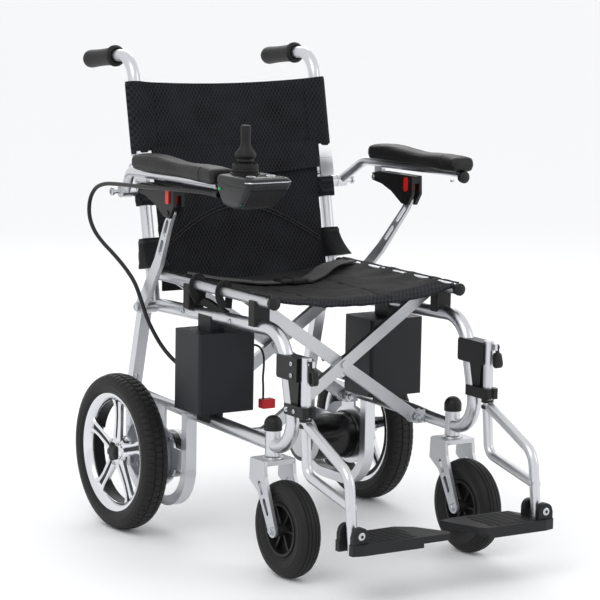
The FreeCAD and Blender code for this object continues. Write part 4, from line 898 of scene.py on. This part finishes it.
def arm_pad(name, side):
    """A leather pad with a full rear half, a narrow waist and a rounded front."""
    body = f"armrest_{name}"
    front, rear, count = (-363.0 if name == "left" else -368.0), -47.0, 44
    bm = bmesh.new()
    rows = []
    for j in range(count + 1):
        y = front + (rear - front) * (0.5 - 0.5 * math.cos(math.pi * (j / count)))
        along = (y - front) / (rear - front)
        to_end = min(1, along / 0.035, (1 - along) / 0.035)
        close = min(1.0, math.sqrt(max(0.0, 1 - (1 - to_end) ** 2)) + 0.05)
        top = 773.0 + 3.4 * math.exp(-((along - 0.80) / 0.16) ** 2)
        top -= 2.8 * math.exp(-((along - 0.44) / 0.14) ** 2)
        low = 742.5 + 2.0 * math.exp(-((along - 0.44) / 0.2) ** 2)
        half_x = 27.0 - 3.0 * math.exp(-((along - 0.44) / 0.16) ** 2)
        mid, half_z = (top + low) / 2, (top - low) / 2
        row = []
        for a, b in superellipse(half_x * (0.62 + 0.38 * close), half_z * close, 0.46, 40):
            row.append(P(side * (ARM_X + a), y, mid + b))
        rows.append(row)
    lattice(bm, rows, closed_u=True, cap=True)
    pad = finish_mesh(f"armrest_cushion_{name}", bm, "leather", replaces=[f"armrest_pad_{name}"])
    plump(pad, limit=1.6, voxel=0.0045)
    crease_pad(pad, name, side, front, rear)
    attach(pad, body)
    if name == "left":
        lathe(f"armrest_end_plug_{name}", P(side * ARM_X, -360, 733), (0, -1, 0),
              [(-6, 0), (-6, 11), (0, 12.2), (4, 12), (6.5, 9), (7, 0)], "plastic", body)
    bolt(f"armrest_screw_{name}", (side * ARM_X, -322, 724), (0, 0, -1), 4.2, 4, body)


def crease_pad(pad, name, side, front, rear):
    """The sewn seam across the front quarter and the piping line round the lower edge."""
    seam = front + (rear - front) * 0.16
    for vert in pad.data.vertices:
        y = vert.co.y * 1000 - DEPTH
        x = side * vert.co.x * 1000
        z = vert.co.z * 1000
        groove = 1.5 * math.exp(-((y - seam - 0.05 * (x - ARM_X)) / 1.6) ** 2)
        groove += 1.1 * math.exp(-((z - 750.5) / 1.5) ** 2)
        out = Vector((vert.co.x * 1000 - side * ARM_X, 0, z - 758))
        if out.length > 1:
            vert.co -= out.normalized() * groove / 1000
        vert.co.z += wave(x, y, z, 30, 0.0007)


def hand_grip(name, side):
    """A soft rubber grip: ribbed flange in front, waisted body, rounded rear end."""
    end = P(side * 220, 292, 941)
    ahead = (P(side * 220, post_y(962), 962) - end).normalized()
    profile = [(-3, 0.1), (-3.4, 8), (-3, 13), (-1, 16.4), (3, 18.2), (9, 18.9)]
    for k in range(26):
        s = 12 + 3.6 * k
        swell = 18.6 - 1.3 * math.sin(math.pi * min(1, k / 25)) + (0.45 if k % 2 else -0.35)
        profile.append((s, swell))
    profile += [(106.5, 18.6), (108, 21.6), (109.6, 22.2), (111.2, 21.2), (112.6, 22.2),
                (114.2, 22.2), (115.6, 20.8), (118, 19.4), (119, 15.5), (117, 13.2), (10, 13.2)]
    lathe(f"hand_grip_{name}", end, ahead, profile, "rubber", f"back_{name}", 56,
          replaces=[f"grip_{name}"])


# ---------------------------------------------------------------- controller
CONTROL_X = -260.5
STICK_Y = -406.0


def control_level(z, front, rear, half, corner=15.0):
    """Rounded outline of the controller's shell at one height."""
    row = []
    reach = min(corner, half - 2, (rear - front) / 2 - 2)
    for cx, cy, start in ((half - reach, rear - reach, 0), (-half + reach, rear - reach, 90),
                          (-half + reach, front + reach, 180), (half - reach, front + reach, 270)):
        for i in range(9):
            a = math.radians(start + 90 * i / 8)
            row.append(P(CONTROL_X + cx + reach * math.cos(a), cy + reach * math.sin(a), z))
    return row


def controller():
    body = "armrest_right"
    levels = [(766.0, -486, -388, 41), (765.7, -491, -383, 45), (764.6, -495, -379.5, 47.2),
              (762.4, -498, -376.5, 48.4), (759.0, -499.6, -374.8, 49), (751.6, -499.6, -374.4, 49),
              (750.6, -498.6, -374.8, 48.2), (749.4, -497.6, -375.2, 47.4),
              (748.2, -497.2, -374.8, 48), (744, -493, -374.4, 48), (734, -482, -374.6, 46),
              (722, -468, -376, 42), (711, -455.5, -380, 38), (705, -444, -386, 32),
              (701, -430, -394, 24)]
    bm = bmesh.new()
    lattice(bm, [control_level(*level) for level in levels], closed_u=True, cap=True)
    finish_mesh("controller_shell", bm, "shell", body, replaces=["controller_housing"])
    bm = bmesh.new()
    trim = ((757.6, -500.2, -400, 49.5), (758.6, -500.8, -400, 49.9), (759.6, -500.4, -400, 49.5),
            (758.6, -496, -400, 46))
    front_half = slice(18, None)
    lattice(bm, [control_level(*level)[front_half] for level in trim], closed_v=True)
    finish_mesh("controller_trim", bm, "zinc", body)
    bm = bmesh.new()
    for k in range(15):
        x = -39.0 + 78.0 * k / 14
        slope = ((1.0, -492.6, 743), (0.97, -482.2, 734), (0.90, -468.4, 722), (0.82, -456.2, 711),
                 (0.72, -445.4, 705))
        swept(bm, [P(CONTROL_X + x * wide, y, z) for wide, y, z in slope], circle(0.0015, 10))
    finish_mesh("controller_louvres", bm, "shell", body)
    bm = bmesh.new()
    levels = ((765.4, -489, -436, 40, 9), (766.9, -488.6, -436.4, 39.6, 9),
              (767.1, -487.6, -437.4, 38.6, 8.5))
    lattice(bm, [control_level(*level) for level in levels], closed_u=True, cap=True)
    finish_mesh("controller_keypad", bm, "panel", body)
    lathe("stick_collar", P(CONTROL_X, STICK_Y, 765.5), (0, 0, 1),
          [(0, 22.9), (0, 28.5), (3, 28.2), (4.5, 25.5), (8, 26), (10, 24.6), (13.5, 25.2),
           (15.5, 24.2), (18, 24.4), (20, 23.6), (20, 22.9)], "stick", body, 56)
    for name, across in (("power", -22), ("horn", 22)):
        lathe(f"key_ring_{name}", P(CONTROL_X + across, -462, 766.8), (0, 0, 1),
              [(0, 7.3), (0, 9.4), (0.9, 9.2), (1.3, 8.4), (1.1, 7.5)], "zinc", body, 32)
    for k in range(5):
        lathe(f"charge_light_{k}", P(CONTROL_X - 16 + 8 * k, -480, 766.9), (0, 0, 1),
              [(0, 0), (0, 1.7), (0.6, 1.4), (0.8, 0)], "green" if k == 0 else "ink", body, 14)
    lathe("status_light", P(CONTROL_X - 48.2, -392, 739), (-1, 0, 0),
          [(-2, 0), (-2, 2.6), (1, 2.4), (1.8, 1.2), (1.8, 0)], "green", body, 20)
    profile = [(-2, 0), (-2, 15.6), (2, 16.8), (6, 15.6), (10, 16.2), (14, 14.6), (18, 15.2),
               (22, 14.2), (26, 16.4), (30, 15.5), (34, 19.5), (38, 20.3), (41, 19.4), (50, 12.5),
               (57, 9.6), (66, 9.2), (80, 9.8), (90, 10), (93, 8.6), (94, 4), (94, 0)]
    lathe("stick_boot", P(CONTROL_X, STICK_Y, 765), (0, 0, 1), profile, "stick", "joystick", 48,
          replaces=["joystick"])
    sleeve = [(-2, 4.3), (-2, 6.4), (8, 6.2), (10, 5.4), (13, 5.6), (15, 5.0), (18, 5.2), (20, 4.7),
              (24, 4.8), (27, 4.3)]
    ahead = (P(-302, -330, 725) - P(-300, -373.7, 725)).normalized()
    lathe("cable_relief", P(-300, -374, 725), ahead, sleeve, "rubber", body, 24)


# ---------------------------------------------------------------- fasteners and small parts
def fasteners():
    for name, side in SIDES.items():
        frame_body, bracket = f"frame_{name}", f"armrest_bracket_{name}"
        spots = [
            ("arm_pivot", (side * 291, 57, 687), (side, 0, 0), 8.5, 5,
             f"armrest_{name}"),
            ("link_foot", (side * 261, 5, 455), (side, 0, 0), 9.0, 6, frame_body),
            ("bracket_pin", (side * 298.8, -61, 706), (side, 0, 0), 5.0, 3, bracket),
            ("bracket_pin_in", (side * 269.2, -61, 706), (-side, 0, 0), 5.0, 3, bracket),
            ("hinge_low", (side * 236, post_y(712) - 5, 706), (side, 0, 0), 4.5, 3, frame_body),
            ("hinge_low_in", (side * 204, post_y(712) - 5, 706), (-side, 0, 0), 4.5, 3,
             frame_body),
            ("hinge_high", (side * 236, post_y(757) - 3, 757), (side, 0, 0), 4.5, 3,
             f"back_{name}"),
            ("rail_screw", (side * 226, -300, 467), (side, 0, 0), 5.0, 3, frame_body),
            ("rail_screw_b", (side * 226, -120, 462), (side, 0, 0), 5.0, 3, frame_body),
            ("strut_screw", (side * 229, 60, 300), (side, 0, 0), 5.5, 3.5, frame_body),
            ("post_screw", (side * 226, -512, 330), (side * 0.8, -0.6, 0), 5.0, 3, frame_body),
            ("plate_screw_a", (side * 233, -86, 196), (side, 0, 0), 4.5, 4, frame_body),
            ("plate_screw_b", (side * 233, -96, 120), (side, 0, 0), 4.5, 4, frame_body),
        ]
        for label, at, axis, radius, high, body in spots:
            bolt(f"screw_{label}_{name}", at, axis, radius, high, body)
        for k, y in enumerate((-355, -100)):
            lathe(f"brace_washer_{name}_{k}", P(side * 184, y - 15.5, 250), (0, -1, 0),
                  [(0, 0), (0, 9.5), (1.6, 9.5), (1.8, 6.4), (6, 6.0), (7, 4.8), (7, 0)], "zinc",
                  frame_body, 24)
        for k in range(5):
            a = math.radians(40 + 72 * k)
            bolt(f"screw_gearcase_{name}_{k}",
                 (side * 262, MOTOR_Y + 46 * math.cos(a), MOTOR_Z + 46 * math.sin(a)),
                 (side, 0, 0), 3.6, 2.4, frame_body)
        lathe(f"motor_bell_{name}", P(side * MOTOR_IN[name], MOTOR_Y, MOTOR_Z), (side, 0, 0),
              [(-0.5, 0), (-0.5, 34), (0.5, 42), (3, 47), (6, 49.0), (17.5, 49.2), (18.5, 48.6)],
              "motor_end", frame_body, 64)
        for k in range(3):
            a = math.radians(90 + 120 * k)
            bolt(f"screw_bell_{name}_{k}",
                 (side * (MOTOR_IN[name] - 0.4), MOTOR_Y + 37 * math.cos(a),
                  MOTOR_Z + 37 * math.sin(a)), (-side, 0, 0), 3.0, 2.2, frame_body)
        lathe(f"caster_crown_cap_{name}", P(side * FRAME_X, -443, 224.5), (0, 0, -1),
              [(0, 8.5), (0, 21), (1.4, 21.6), (3.4, 21), (3.4, 8.5)], "zinc", frame_body, 40)
        footplate_details(name, side)
        hanger_details(name, side)


def footplate_details(name, side):
    body = f"footplate_{name}"
    bm = bmesh.new()
    for k in range(9):
        y = -744.0 + 9.6 * k
        inner = 84.0 + 3.0 * math.sin(k)
        block(bm, *sorted_corners(side, (inner, y - 1.5, 117.4), (188.0, y + 1.5, 119.1)), 0.7)
    finish_mesh(f"footplate_tread_{name}", bm, "plate", body)
    bm = bmesh.new()
    block(bm, *sorted_corners(side, (96.0, -752.0, 117.4), (186.0, -749.5, 118.8)), 0.6)
    block(bm, *sorted_corners(side, (186.0, -752.0, 117.4), (190.0, -672.0, 118.8)), 0.6)
    finish_mesh(f"footplate_rim_{name}", bm, "plate", body)
    for k, (y, way) in enumerate(((-751.5, -1), (-694.5, 1))):
        lathe(f"footplate_screw_{name}_{k}", P(side * FRAME_X, y, 133), (0, way, 0),
              [(-1, 0), (-1, 7.5), (1.5, 7.5), (2.6, 6), (2.6, 3.2), (1, 2.8), (1, 0)], "zinc",
              body, 24)


def sorted_corners(side, low, high):
    """The two corners of a left-side block, on either side of the chair."""
    xs = sorted((side * low[0], side * high[0]))
    return (xs[0], *low[1:]), (xs[1], *high[1:])


def hanger_details(name, side):
    body = f"frame_{name}"
    for k, z in enumerate((419, 397)):
        bolt(f"screw_cradle_{name}_{k}", (side * 227, -528, z), (side, 0, 0), 4.4, 3, body)
    bolt(f"screw_clamp_{name}", (side * 227, -540, 330), (side, 0, 0), 4.4, 3, body)
    bm = bmesh.new()
    for z in (300, 312):
        turned(bm, P(side * FRAME_X, -557, z), (0, 0, 1),
               [(0, 0.0101), (0, 0.0122), (0.006, 0.0122), (0.006, 0.0101)], 32)
    finish_mesh(f"hanger_collar_{name}", bm, "plastic", f"hanger_{name}")


def soften_nodes():
    widths = {"battery": 5.0, "saddles": 1.5, "hanger_bracket": 2.0, "hanger_lever": 1.0,
              "stem_cap": 2.0, "caster_fork": 1.6, "caster_hub": 1.2, "footplate": 2.2,
              "back_lever": 1.0, "armrest_bracket": 1.4, "armrest_button": 1.0,
              "armrest_link": 1.2, "gearcase": 2.0, "motor": 1.5}
    for prefix, width in widths.items():
        for name in SIDES:
            soften(nodes[f"{prefix}_{name}"], width)


make_camera()
cables()
make_stage()
paint_all()
back_upper()
back_lower()
back_bands()
seat()
seat_details()
carry_loop()
for which, sign in SIDES.items():
    rear_wheel(which, sign)
    caster(which, sign)
    arm_pad(which, sign)
    hand_grip(which, sign)
controller()
fasteners()
soften_nodes()
